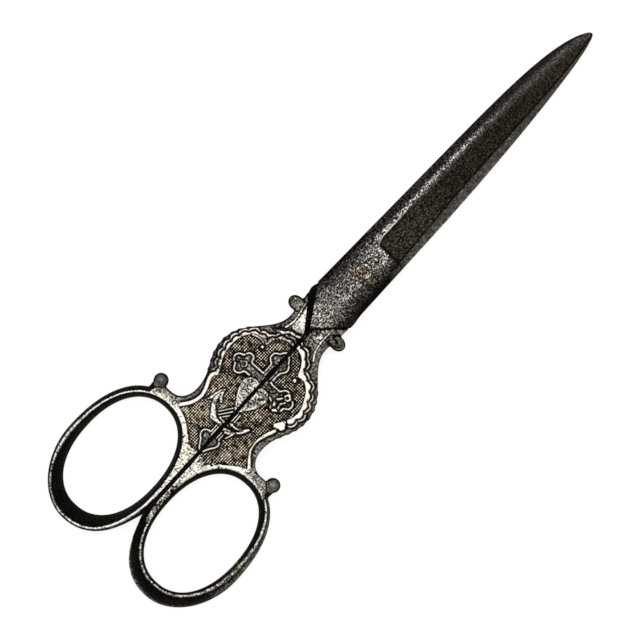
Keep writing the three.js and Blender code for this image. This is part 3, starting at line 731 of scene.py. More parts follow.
def emblem_left(carving):
    """The other half of the cross, of the anchor with its fluke and barb, and of the heart."""
    bead = carving.bead
    cross = [
        [
            (0.6, -26.9), (1.2, -27.6), (1.5, -28.2), (2.2, -28.5), (2.75, -29.2), (2.7, -30.2), (2.1, -30.9),
            (1.5, -31.3), (1.4, -32.2), (1.4, -34.1),
        ],
        [
            (1.4, -34.2), (3.0, -34.2), (5.0, -34.2), (5.4, -33.6), (5.6, -33.0), (6.2, -32.7), (7.0, -32.8),
            (7.5, -33.4), (7.8, -34.1),
        ],
        [(7.8, -34.1), (8.8, -34.5), (9.3, -35.2), (9.3, -35.9), (8.8, -36.6), (8.0, -37.0)],
        [
            (8.0, -37.0), (7.7, -37.7), (7.1, -38.4), (6.3, -38.4), (5.6, -37.9), (5.2, -37.1), (4.8, -36.9),
            (3.5, -36.8),
        ],
    ]
    foot = [
        (1.3, -50.9), (1.3, -52.9), (1.9, -53.1), (2.7, -53.6), (3.0, -54.5), (2.6, -55.4), (1.9, -56.0),
        (1.5, -56.7), (1.0, -57.5), (0.4, -58.0),
    ]
    carving.area([(-1, -26.8), *sum(cross, []), (-1, -36.9)], -0.36, 0.4)
    carving.area([(-1, -45.0), (1.3, -45.0), *foot, (-1, -58.0)], -0.36, 0.36)
    for points in cross:
        bead(points, -0.06)
    diamond = [
        (5.6, -35.6), (6.2, -34.9), (6.8, -35.3), (7.4, -35.6), (6.8, -36.0), (6.2, -36.4), (5.6, -35.7),
    ]
    bead(diamond, -0.15, wear=0.7, half=0.16)
    bead([(0.85, -31.5), (0.85, -34.4)], -0.12, wear=0.85, half=0.16)

    # The anchor
    bead(foot, -0.08)
    bead([(0.7, -50.9), (0.7, -53.6)], -0.1, half=0.16)
    fluke = [
        (5.75, -43.2), (6.4, -44.3), (6.9, -46.0), (7.2, -47.7), (6.5, -47.2), (6.3, -46.0), (5.9, -44.6),
    ]
    arm = [
        (5.6, -44.0), (6.0, -45.5), (6.1, -46.6), (5.6, -48.0), (4.9, -49.0), (4.2, -50.0), (3.6, -50.7),
        (2.0, -50.5), (-0.5, -50.3), (-0.5, -49.6), (2.2, -49.8), (3.2, -49.3), (3.7, -48.6), (4.3, -48.1),
        (5.0, -47.4), (5.45, -46.3), (5.4, -45.0),
    ]
    barb = [
        (5.45, -43.1), (5.1, -44.6), (4.5, -45.6), (3.9, -46.1), (4.4, -46.4), (5.1, -45.6), (5.55, -44.4),
    ]
    for outline in (fluke, arm, barb):
        bead([*outline, outline[0]], -0.12, wear=0.9, half=0.14, bend=False)
        carving.area(outline, -0.06, 0.9)
    stays = [
        [(0.9, -45.0), (3.2, -48.2)],
        [(0.5, -45.9), (2.7, -48.8)],
        [(0.5, -47.2), (1.9, -48.9)],
        [(0.4, -49.25), (2.1, -49.1)],
    ]
    for points in stays:
        bead(points, -0.1, half=0.19)

    tendril = [(9.5, -29.2), (8.4, -28.75), (7.2, -28.55), (6.2, -28.9), (5.8, -29.4)]
    curl(carving, tendril, (5.8, -29.75, 0.4))
    half_heart = [
        (-0.6, -37.0), (0.6, -36.9), (1.6, -36.7), (2.8, -37.1), (3.5, -38.0), (3.65, -39.0), (3.4, -40.3),
        (2.8, -41.7), (1.8, -43.3), (0.6, -44.9), (-0.6, -46.0),
    ]
    heart(carving, half_heart)


def neck_right(carving):
    """A thin bead and a rubbed spot on the rough neck."""
    band = [(3.9, -15.0), (3.8, -18.5), (3.9, -20.0), (4.2, -21.5), (4.8, -23.0), (5.5, -24.0)]
    carving.bead(band, 0.0, wear=0.95, half=0.14)
    carving.area([(2.3, -16.3), (3.3, -16.0), (3.3, -18.9), (2.4, -19.3)], -0.05, 0.75, soft=0.5)
    carving.groove([(1.0, -23.2), (2.6, -23.7), (4.0, -25.0), (5.6, -26.8)], 0.15)
    carving.calm -= 0.6 * bump(carving.x - 2.2, 1.6) * bump(carving.y + 20.0, 2.8)


def neck_left(carving):
    """A bright flat patch between two beads, and a grey flank."""
    patch = [
        (0.0, -19.4), (0.8, -20.9), (1.9, -21.5), (3.2, -21.7), (4.0, -21.2), (3.85, -19.5), (4.0, -17.8),
        (4.3, -15.5), (2.0, -16.2),
    ]
    places, _ = carving.area(patch, 0.0, 1.0)
    carving.wear[places] *= 1 - 0.4 * rise(-carving.y[places], 18.6, 21.0)
    band = [(5.2, -15.2), (4.8, -17.0), (4.45, -18.5), (4.35, -20.0), (4.6, -21.5), (4.9, -22.5)]
    carving.bead(band, 0.0, wear=1.0, half=0.14)
    carving.bead(
        [(0.6, -21.9), (1.8, -22.5), (3.2, -22.6), (4.2, -23.6), (5.8, -24.4)], -0.05, wear=0.85, half=0.2
    )
    carving.groove([(1.0, -21.6), (3.0, -22.0), (5.5, -23.3), (7.0, -24.8)], 0.2)
    carving.wear += 0.14 * bump(carving.x - 5.5, 0.5) * bump(carving.y + 20.5, 2.2)
    carving.wear *= 1 - 0.55 * bump(carving.x - 5.6, 0.35) * bump(carving.y + 17.4, 0.35)


def volute(carving, place, wear, curled):
    """The scroll on the neck: smooth, or with a curl that opens toward the handle."""
    x, y = place
    turn = np.arange(0, 2 * math.pi, 0.5)
    for middle, half_x, half_y, shade in ((x, 2.3, 2.1, 0.04), (x - 0.4, 2.15, 1.4, wear)):
        disc = np.stack([middle + half_x * np.cos(turn), y + half_y * np.sin(turn)], 1)
        carving.area(flowing(disc, closed=True), -0.4, shade)
    if curled:
        lower = [(0.7, -0.5), (0.1, -1.0), (-0.9, -1.25), (-2.0, -1.4)]
        upper = [(-2.1, 0.8), (-1.4, 0.3), (-0.4, 0.2), (0.2, -0.2)]
        for points, depth, half in ((lower, 0.3, 0.3), (upper, 0.2, 0.16)):
            carving.groove([(x + dx, y + dy) for dx, dy in points], depth, half)


# Blades

def nose(shape, y):
    """How far a side has curved in to the tip: 0 up to its start and 1 at the tip."""
    start, power, point = shape
    along = np.clip((y - start) / (REACH - start), 0, 1)
    return 1 - (1 - along**power) ** point


def back_x(blade, y):
    at_tip = -blade["back"] + blade["back_taper"] * REACH
    return -blade["back"] + blade["back_taper"] * y + (blade["tip"] - at_tip) * nose(blade["back_nose"], y)


def edge_x(blade, y):
    at_tip = blade["edge"] - EDGE_SWEEP - blade["edge_taper"] * (REACH - RICASSO_END)
    swept = blade["edge"] - EDGE_SWEEP * rise(y, RICASSO_END, EDGE_SWEEP_END)
    straight = swept - blade["edge_taper"] * (y - RICASSO_END)
    curved = straight + (blade["tip"] - at_tip) * nose(blade["edge_nose"], y)
    return np.maximum(curved, back_x(blade, y) + TIP_WIDTH)


def blade_sides(blade, y):
    """Both sides of a blade at each place along it, and how far the grinding has started there."""
    bulge = bump(y - BASE_BULGE_Y, BASE_BULGE_RUN)
    ground = rise(y, RICASSO_END, RICASSO_END + GRIND_STEP)
    left = back_x(blade, y) - BASE_BULGE * bulge
    right = blade["ricasso"] + blade["bulge"] * bulge + (edge_x(blade, y) - blade["ricasso"]) * ground
    return left, right, ground


def from_joint(x, y):
    """Distance from the sloping line where a blade meets its handle."""
    slope = math.radians(JOINT_ANGLE)
    return (y - BASE_APEX) * math.cos(slope) - x * math.sin(slope)


def hollow_ground(left, right, x, y):
    """Distances from the hollow's side by the ridge and from its step, the depth inside it, and its share."""
    from_ridge = x - left - (right - left) * RIDGE_PLACE - HOLLOW_LIP
    from_step = y - RICASSO_END - GRIND_STEP / 2
    across, along = HOLLOW_CORNER
    from_corner = (from_ridge * along + from_step * across - across * along) / math.hypot(across, along)
    depth = np.minimum(np.minimum(from_ridge, from_step), from_corner)
    share = rise(depth, -HOLLOW_SHARP, HOLLOW_SHARP + change(y, HOLLOW_SOFTENS))
    return from_ridge, from_step, depth, share


def blade_surface(blade, place, y):
    """The outer face of a blade at each place from back to edge: x, and height over the inner face."""
    left, right, ground = blade_sides(blade, y)
    x = left + (right - left) * place
    crown = RICASSO_SIDE_H + (CROWN_H - RICASSO_SIDE_H) * (1 - np.abs(2 * place - 1) ** CROWN_POWER)
    ridge = np.minimum(RIDGE_H - RIDGE_DROP * y, RIDGE_SLOPE * (right - left))
    back = np.minimum(BACK_H - BACK_DROP * y, ridge)
    land = np.minimum(EDGE_LAND, back)
    before = back + (ridge - back) * np.sin(math.pi / 2 * np.clip(place / RIDGE_PLACE, 0, 1))
    beyond = np.clip((place - RIDGE_PLACE) / (1 - RIDGE_PLACE), 0, 1)
    after = land + (ridge - land) * (1 - beyond) ** HOLLOW_POWER
    hollow = hollow_ground(left, right, x, y)[-1] * (1 - rise(y, *HOLLOW_FADE))
    after -= HOLLOW_SINK * hollow * np.clip(after / ridge, 0, 1)
    profile = np.where(place < RIDGE_PLACE, before, after)
    return x, crown + (profile - crown) * ground


def blade_wear(blade, x, y):
    """How bright a blade's outer face is, from wear, painted highlights and painted shade, how much of it is
    hollow, and how grainy it is.
    """
    left, right, ground = blade_sides(blade, y)
    x = np.clip(x, left, right)
    place = (x - left) / (right - left)
    is_back = place < RIDGE_PLACE
    from_ridge, from_step, depth, hollow = hollow_ground(left, right, x, y)

    # The ricasso is painted bright in its middle, a highlight on its crown, and dark at its sides for their
    # shade, and the edge's strip runs on into it
    side = 2 * np.abs(place - RICASSO_MIDDLE)
    base = rise(-y, *BASE_RUN)
    glow = RICASSO_GLOW + change(y, GLOW_ABOVE_PIN) + change(-y, GLOW_AT_BASE)
    ricasso = RICASSO_DULL + glow * (1 - rise(side, GLOW_HALF + GLOW_WIDER * base, GLOW_END))
    ricasso *= 1 - change(side, SIDE_SHADE) * (1 - base)
    # A highlight is painted on the lip before the step
    lip_full, lip_fading, lip_end = STEP_LIP_RUN
    lip = line(from_step, STEP_LIP) * rise(from_ridge, 0, lip_full)
    ricasso += STEP_LIP_HIGHLIGHT * lip * (1 - rise(from_ridge, lip_fading, lip_end))
    ricasso += (STRIP_WEAR - ricasso) * rise(x, *STRIP_SIDE) * rise(y, *STRIP_START)
    ricasso *= 1 - DIRT_AND_SHADE * line(x, STRIP_LINE) * rise(y, *STRIP_LINE_START)

    # The ridge is rubbed bright and painted with a highlight: a band of sheen along it, and a sharp bright
    # line beside the hollow
    off_band = from_ridge + HOLLOW_LIP + BAND_OFF - change(y, *BAND_SHIFTS)
    band_edge = BAND_EDGE_HALF + change(y, *BAND_EDGE_GROWS)
    band_half = np.where(off_band < 0, BAND_BACK_HALF + change(y, BAND_BACK_GROWS), band_edge)
    flash, flash_y, flash_half = BAND_FLASH
    band = BAND_WEAR_AND_SHEEN + flash * bump(y - flash_y, flash_half) - change(y, BAND_FADE)
    band *= bump(off_band, band_half)
    ridge_line = line(depth, RIDGE_LINE) * (1 - rise(from_ridge, *RIDGE_LINE_END))
    ridge_line *= 1 - change(y, *RIDGE_LINE_FADES)

    # The ground faces are dark, with dark lines of painted shade where they meet
    behind = BACK_WEAR + change(place, FLANK_GLOW) * (1 - change(y, FLANK_GLOW_FADE))
    within = HOLLOW_WEAR + change(y, *HOLLOW_CHANGES)
    blade_ground = behind + (within - behind) * np.maximum(hollow, rise(y, *HOLLOW_FADE)) * ~is_back
    rubbing_and_highlight = BRIGHT + RIDGE_LINE_WEAR_AND_SHEEN * ridge_line
    blade_ground += (rubbing_and_highlight - blade_ground) * np.maximum(band, ridge_line)
    blade_ground *= 1 - DIRT_AND_SHADE * line(depth, HOLLOW_LINE) * (1 - rise(y, *HOLLOW_LINE_FADE))
    blade_ground *= 1 - EDGE_SHADE * line(right - x, EDGE_LINE)
    wear = ricasso + (blade_ground - ricasso) * ground
    wear *= 1 - STEP_SHADOW * line(from_step, STEP_LINE) * rise(from_ridge, *STEP_LINE_START)
    wear *= 1 - DIRT_AND_SHADE * line(from_joint(x, y), (JOINT_GAP, DIRT_HALF))

    grain = np.maximum(1 - ground, FLANK_GRAIN * is_back * (1 - rise(y, *FLANK_GRAIN_FADE)))
    grain += HOLLOW_GRAIN * hollow - change(y, TIP_CALM)
    grain += (band - LINE_CALM * ridge_line * (1 - rise(y, *LINE_CALM_FADE))) * ground
    grain -= change(side, SIDE_CALM) * (1 - ground)
    return wear, hollow * ground, grain


def blade_shape(blade):
    """A blade from its outer face: a sheet shaped over the outline, walled down to the flat inner face."""
    across, along = BLADE_STEPS
    bm = bmesh.new()
    bmesh.ops.create_grid(bm, x_segments=across, y_segments=along, size=0.5)
    bm.verts.ensure_lookup_table()
    places = np.array([vert.co for vert in bm.verts])
    part = places[:, 1] + 0.5
    part = part + STEP_BUNCHING * np.sin(2 * math.pi * part) / math.pi
    y = BASE_APEX + (REACH - BASE_APEX) * part
    x, height = blade_surface(blade, places[:, 0] + 0.5, y)
    for vert, *co in zip(bm.verts, x, y, INNER + height):
        vert.co = co
    rim = [edge for edge in bm.edges if edge.is_boundary]
    wall = bmesh.ops.extrude_edge_only(bm, edges=rim)["geom"]
    for vert in wall:
        if isinstance(vert, bmesh.types.BMVert):
            vert.co.z = INNER
    bmesh.ops.holes_fill(bm, edges=[edge for edge in bm.edges if edge.is_boundary])
    bmesh.ops.recalc_face_normals(bm, faces=bm.faces[:])
    apex = Vector((0, BASE_APEX + JOINT_GAP / math.cos(math.radians(JOINT_ANGLE)), 0))
    cut(bm, apex, -square_to(JOINT_ANGLE))
    cut(bm, apex - Vector((0, FREE_DROP, 0)), -square_to(-FREE_ANGLE))
    return bm


def tang_shape():
    """The tang that holds the blade in its handle. Its root closes the seam from below."""
    bm = bmesh.new()
    raised(bm, TANG_OUTLINE, INNER, INNER + TANG_H)
    return bm


def blade_piece(name, blade, turn):
    """A blade with its tang and the bore for the pin, and its wear with painted highlights and painted shade.
    """
    mesh = combined(mesh_of(blade_shape(blade)), tang_shape(), "UNION")
    mesh = combined(mesh, pin_shape(PIN_PLAY), "DIFFERENCE")
    places, normals = coordinates(mesh)
    x, y, z = places.T
    wear, hollow, grain = blade_wear(blade, x, y)
    inside = rise(-normals[:, 2], *INNER_FACING)
    # Steep walls are painted dark, for their shade
    wall = 1 - rise(np.abs(normals[:, 2]), *WALL_FACING)
    wear += (WALL_SHADE - wear) * wall
    wear += ((INNER_WEAR + change(y, INNER_CHANGE)) * rise(y, *INNER_START) - wear) * inside
    is_tang = (z < INNER + TANG_H + 0.02) & (y < BASE_Y)
    wear[is_tang] = 0.0
    calm = INNER_CALM * inside - BLADE_GRAIN * grain * (1 - inside)
    keep(mesh, wear=wear, hollow=hollow * (1 - inside), calm=calm)
    mesh.transform(turn)
    piece = shown(mesh, name)
    mesh.set_sharp_from_angle(angle=math.radians(BLADE_CREASE))
    return piece


# Pivot pin

def pin_shape(play):
    """The pin turned from its profile, with round edges where it was riveted over at both ends."""
    head = PIN_HEAD_R + play
    end = [(0, 0), (head * 0.4, 0), (head * 0.75, 0)]
    end += [(head - inward, drop) for inward, drop in PIN_ROUND]
    end += [(head, PIN_HEAD_H / 2), (PIN_R + play, PIN_HEAD_H)]
    profile = [(radius, STACK - drop) for radius, drop in end]
    profile += [(radius, drop) for radius, drop in reversed(end)]
    bm = bmesh.new()
    verts = [bm.verts.new((radius, 0, level)) for radius, level in profile]
    edges = [bm.edges.new(pair) for pair in zip(verts, verts[1:])]
    around = {"cent": (0, 0, 0), "axis": (0, 0, 1), "angle": 2 * math.pi}
    bmesh.ops.spin(bm, geom=verts + edges, steps=PIN_STEPS, use_merge=True, **around)
    bmesh.ops.remove_doubles(bm, verts=bm.verts[:], dist=1e-4)
    bmesh.ops.recalc_face_normals(bm, faces=bm.faces[:])
    return bm


def pin_piece(name):
    """The pin with hammered ends, with highlights painted on parts of their edge."""
    bm = pin_shape(0)
    ends = [face for face in bm.faces if abs(face.normal.z) > 0.9 and face.calc_center_median().xy.length < 2]
    bmesh.ops.subdivide_edges(bm, edges=edges_of(ends), cuts=2, use_grid_fill=True)
    for vert in bm.verts:
        if vert.co.xy.length < PIN_HEAD_R - 0.15 and abs(vert.co.z - MIDDLE) > MIDDLE - 0.1:
            hammered = noise.fractal(vert.co * HAMMER_GRAIN, 0.8, 2.0, 3) * HAMMER_DEPTH
            vert.co.z += (hammered - HAMMER_DEPTH) * math.copysign(1, vert.co.z - MIDDLE)
    mesh = mesh_of(bm)
    places, normals = coordinates(mesh)
    radius = np.hypot(places[:, 0], places[:, 1])
    angle = np.arctan2(places[:, 1], places[:, 0])
    # Highlights are painted on the edge in a few directions
    rubbing_and_highlight = np.zeros(len(angle))
    for strength, direction, spread in PIN_HIGHLIGHTS:
        off = np.abs(np.angle(np.exp(1j * (angle - direction))))
        rubbing_and_highlight = np.maximum(rubbing_and_highlight, strength * bump(off, spread))
    wear = PIN_WEAR + PIN_HIGHLIGHT * rubbing_and_highlight * line(radius, PIN_HIGHLIGHT_RING) * np.abs(normals[:, 2])
    wear *= 1 - 0.6 * line(radius, PIN_DARK_RING)
    wear *= 1 - DIRT_AND_SHADE * rise(radius, *PIN_RIM)
    keep(mesh, wear=wear, calm=np.zeros(len(wear)))
    return shown(mesh, name)


# Handles

def round_power(angle, half, power):
    """A point of a rounded oval."""
    across, along = math.cos(angle), math.sin(angle)
    x = half[0] * math.copysign(abs(across) ** (2 / power), across)
    y = half[1] * math.copysign(abs(along) ** (2 / power), along)
    return Vector((x, y))


def hole_edge(angle, widen=0.0):
    half = (HOLE_HALF[0] + widen, HOLE_HALF[1] + widen)
    return Vector(BOW_CENTRE) + round_power(angle, half, HOLE_POWER)


def bow_rim(angle):
    """A point of the bow's outline, which has another curve in each quarter."""
    quarter = min(int(2 * angle / math.pi), 3)
    widest = BOW_WIDEST if quarter in (0, 3) else (BOW_TOP - BOW_END) / 2
    middle = Vector(((BOW_OUTSIDE - BOW_SIDE) / 2, widest))
    past_hole = BOW_TOP - widest if quarter < 2 else BOW_END + widest
    half = (HOLE_HALF[0] + (BOW_OUTSIDE + BOW_SIDE) / 2, HOLE_HALF[1] + past_hole)
    return Vector(BOW_CENTRE) + middle + round_power(angle, half, BOW_POWERS[quarter])


def bow_point(angle, turn):
    """A point of the bow's skin. Its section leans so that its crests lie apart at the far end."""
    sag = (1 - math.sin(angle)) / 2
    front = BOW_CREST[0] + BOW_FLARE[0] * sag
    outside = BOW_CREST[1] + BOW_FLARE[1] * sag
    inside = BOW_INNER_CREST[0] + BOW_INNER_CREST[1] * rise(sag, 0.7, 1)
    behind = inside + (outside - inside) * rise(math.cos(angle), -0.3, 0.3)
    outer = MIDDLE - BOW_LEAN * sag
    inner = MIDDLE + BOW_LEAN * sag
    quarter = min(int(turn * 4), 3)
    part = (turn * 4 - quarter) * math.pi / 2
    # Long slopes are nearly straight, and short ones are round
    bend = (BOW_ROUND - BOW_STRAIGHT) * sag
    power = (BOW_ROUND - bend, BOW_ROUND, BOW_STRAIGHT, BOW_STRAIGHT + bend)[quarter]
    s = max(math.sin(part), 0) ** (2 / power)
    c = max(math.cos(part), 0) ** (2 / power)
    place, level = (
        (front + (1 - front) * s, outer + (STACK - outer) * c),
        (behind + (1 - behind) * c, outer * (1 - s)),
        (behind * (1 - s), inner * (1 - c)),
        (front * (1 - c), inner + (STACK - inner) * s),
    )[quarter]
    point = hole_edge(angle).lerp(bow_rim(angle), place)
    return (point.x, point.y, level)


def bow_shape(bm):
    """The bow as a sheet rolled into a ring, then sewn up along both its seams."""
    around, across = BOW_STEPS
    made = bmesh.ops.create_grid(bm, x_segments=around, y_segments=across, size=0.5)["verts"]
    for vert in made:
        vert.co = bow_point(2 * math.pi * (vert.co.x + 0.5), vert.co.y + 0.5)
    bmesh.ops.remove_doubles(bm, verts=made, dist=1e-3)


def side_curve(steps):
    """The outline of a handle from its neck round the panel to the waist."""
    above, below = PANEL_PULL
    curve = bezier(NECK, (NECK[0], NECK[1] - NECK_PULL), (PANEL[0], PANEL[1] + above), PANEL, steps)
    reach = (WAIST[0], WAIST[1] + WAIST_PULL[0])
    return curve + bezier(PANEL, (PANEL[0], PANEL[1] - below), reach, WAIST, steps)


def plate_shape(low, high, line_y, degrees):
    """The flat of the handle between two levels, from a sloping line at the neck down to the bow."""
    outline = [(-TOP_HALF, 0), (NECK_TOP, 0), (NECK_TOP, BASE_Y), NECK]
    outline += side_curve(14)
    outline += bezier(WAIST, (WAIST[0], WAIST[1] - WAIST_PULL[1]), (FOOT[0] - FOOT_PULL, FOOT[1]), FOOT, 8)
    outline += [(KNOB[0] - KNOB_R, FOOT[1]), (KNOB[0], FOOT[1] - KNOB_R)]
    outline += [tuple(hole_edge(math.radians(degree), BOW_TOP / 2)) for degree in range(66, 181, 6)]
    outline += PLATE_END
    bm = bmesh.new()
    raised(bm, outline, low, high)
    levels = [level for level in (0, STACK) if level in (low, high)]
    free = {v for v in bm.verts if v.co.x > 0 and v.co.y > FOOT[1] - 0.1}
    rim = [e for e in bm.edges if free.issuperset(e.verts) and e.verts[0].co.z == e.verts[1].co.z in levels]
    round_edge = {"segments": 4, "profile": 0.5, "affect": "EDGES", "material": -1, "clamp_overlap": False}
    bmesh.ops.bevel(bm, geom=rim, offset=PLATE_BEVEL, **round_edge)
    bmesh.ops.triangulate(bm, faces=bm.faces[:])
    cut(bm, (0, line_y, 0), square_to(degrees))
    cut(bm, (PARTING, 0, MIDDLE), (-1, 0, PARTING_LEAN))
    for side, level in ((1, STACK), (-1, 0)):
        wall = PARTING + PARTING_LEAN * side * (MIDDLE - PARTING_EDGE_H)
        cut(bm, (PARTING_EDGE, 0, level), (-PARTING_EDGE_H, 0, side * (PARTING_EDGE - wall)))
    return bm


def web_shape():
    """The metal that fills the corner between the bows."""
    bm = bmesh.new()
    raised(bm, WEB_OUTLINE, WEB_SINK, STACK - WEB_SINK)
    cut(bm, (PARTING, 0, MIDDLE), (-1, 0, PARTING_LEAN))
    return bm


def knob_shape(bm):
    """The ball on the shoulder of the bow, and the collar that carries it."""
    ball = bmesh.ops.create_uvsphere(bm, radius=KNOB_R, **BALL_STEPS)["verts"]
    bmesh.ops.translate(bm, vec=(*KNOB, MIDDLE), verts=ball)
    size = {"radius1": COLLAR_R[0], "radius2": COLLAR_R[1], "depth": COLLAR_LENGTH}
    lying = Matrix.Rotation(math.pi / 2, 4, "X")
    collar = bmesh.ops.create_cone(bm, cap_ends=True, segments=32, matrix=lying, **size)["verts"]
    place = (KNOB[0] + COLLAR_OFFSET[0], KNOB[1] + COLLAR_OFFSET[1], MIDDLE)
    bmesh.ops.translate(bm, vec=place, verts=collar)


def scroll_shape(bm):
    """The scroll on the neck: a ball flattened to a thick button."""
    button = bmesh.ops.create_uvsphere(bm, radius=1, **BALL_STEPS)["verts"]
    for vert in button:
        level = math.copysign(abs(vert.co.z) ** 0.35, vert.co.z) * SCROLL_HALF_H
        ring = vert.co.xy.normalized() * vert.co.xy.length**0.6 * SCROLL_R
        across = SCROLL[0] + ring.x * SCROLL_STRETCH - SCROLL_INSET
        vert.co = (across, SCROLL[1] + ring.y, MIDDLE + level)


def scallop_shapes(bm):
    """The scallops round the panel's widest place, each a ball that stands a little proud of the edge."""
    edge = np.array(side_curve(60))
    steps = np.hypot(*np.diff(edge, axis=0).T)
    travelled = np.concatenate([[0], np.cumsum(steps)])
    widest = travelled[np.argmax(edge[:, 0])]
    for i in range(SCALLOPS):
        at = np.searchsorted(travelled, widest + SCALLOP_PITCH * (i + 0.5 - SCALLOPS / 2))
        along = (edge[at] - edge[at - 1]) / steps[at - 1]
        middle = edge[at] + np.array([along[1], -along[0]]) * (SCALLOP_R - SCALLOP_STAND)
        lobe = bmesh.ops.create_uvsphere(bm, u_segments=24, v_segments=16, radius=SCALLOP_R)["verts"]
        bmesh.ops.scale(bm, vec=(1, 1, SCALLOP_TALL), verts=lobe)
        bmesh.ops.translate(bm, vec=(*middle, MIDDLE), verts=lobe)


def blank_shape(shift):
    """The casting before it is carved: overlapping bodies that get one skin."""
    line_y = BASE_APEX - shift
    bm = plate_shape(0, STACK, line_y - SHOULDER_DROP, SHOULDER_ANGLE)
    cut(bm, (0, SHOULDER_TOP - shift, 0), (0, 1, 0))
    lip = plate_shape(INNER, STACK, line_y, JOINT_ANGLE)
    cut(lip, (0, LIP_TOP - shift, 0), (0, 1, 0))
    added(bm, lip)
    bow_shape(bm)
    added(bm, web_shape())
    knob_shape(bm)
    scroll_shape(bm)
    scallop_shapes(bm)
    bmesh.ops.translate(bm, vec=(0, shift, 0), verts=bm.verts[:])
    bmesh.ops.recalc_face_normals(bm, faces=bm.faces[:])
    return bm


def carved_face(x, y, shift, is_right):
    """The carving at each place of one face. Its lines were set out on a handle at its own shift."""
    if is_right:
        carving = Carving(x, y - shift - HANDLE_SHIFT)
        volute(carving, VOLUTE_RIGHT, VOLUTE_WEAR[0], True)
        sunk_field(carving, FIELD_RIGHT, **RIM_RIGHT)
        emblem_right(carving)
        neck_right(carving)
    else:
        carving = Carving(x, y - shift + HANDLE_SHIFT)
        volute(carving, VOLUTE_LEFT, VOLUTE_WEAR[1], False)
        sunk_field(carving, FIELD_LEFT, **RIM_LEFT)
        emblem_left(carving)
        neck_left(carving)
    return carving


def bow_wear(x, y, z, normals):
    """How bright the bow is: a narrow line along its crest worn bright, and slopes beside it painted dark for
    their shade.
    """
    dx = x - BOW_CENTRE[0]
    dy = y - BOW_CENTRE[1]
    sag = rise(-dy, *BOW_SAG)
    angle = np.degrees(np.arctan2(dy, dx))
    is_front = normals[:, 2] > 0
    outward = (dx * normals[:, 0] + dy * normals[:, 1]) / np.hypot(dx, dy)
    level = np.abs(normals[:, 2])

    # The front face is rubbed wide and dull on its outer side, and has a grey outer slope there
    outer_side = line(angle, OUTER_SIDE) * is_front
    inner_side = rise(np.abs(angle), *INNER_SIDE)
    wide = np.where(is_front, outer_side, 0.9 * np.maximum(line(angle, OUTER_BEHIND), inner_side))
    thin = change(angle, *THIN_CREST) * ~is_front
    low, high = (at + a * sag + b * wide + c * thin for at, a, b, c in CREST_LEVELS)
    flat = rise(level, low, high) * (1 - rise(np.minimum(z, STACK - z), *CREST_DROP))
    crest_front = CREST_WEAR - CREST_DULL[0] * outer_side - CREST_DULL[1] * sag * (1 - outer_side)
    crest_behind = CREST_WEAR + inner_side * change(sag, CREST_INNER_RUB)
    for amount, direction, spread in CREST_CHANGES:
        crest_behind += amount * line(angle, (direction, spread))
    crest = np.where(is_front, crest_front, crest_behind)

    grey = np.where(is_front, change(angle, *GREY_FRONT), GREY_BEHIND)
    more, *low_side = GREY_LOW_MORE
    grey_low = (GREY_LOW + more * line(angle, low_side)) * rise(MIDDLE - z, *GREY_LOW_RISE) * is_front
    slope = np.maximum(grey, grey_low) * rise(outward, *OUTER_SLOPE)
    slope += change(-outward, HOLE_GLOW) * line(angle, HOLE_GLOW_SIDE) * is_front
    wear = slope + (crest - slope) * flat
    # A dark line of painted shade parts the crest from its outer slope
    return wear * (1 - 0.95 * outer_side * line(level, CREST_LINE) * (outward > 0))


def casting_skin(shift):
    """One skin over the casting's bodies, finer on the faces that are carved."""
    skin = evaluated(mesh_of(blank_shape(shift)), "REMESH", mode="VOXEL", voxel_size=SKIN_VOXEL, adaptivity=0)
    bm = bmesh.new()
    bm.from_mesh(skin)
    bm.normal_update()
    upper = [face for face in bm.faces if face.calc_center_median().y > CARVED_FROM]
    level = [face for face in upper if abs(face.normal.z) > CARVED_LEVEL]
    bmesh.ops.subdivide_edges(bm, edges=edges_of(level), cuts=1, use_grid_fill=True)
    bm.to_mesh(skin)
    bm.free()
    return skin


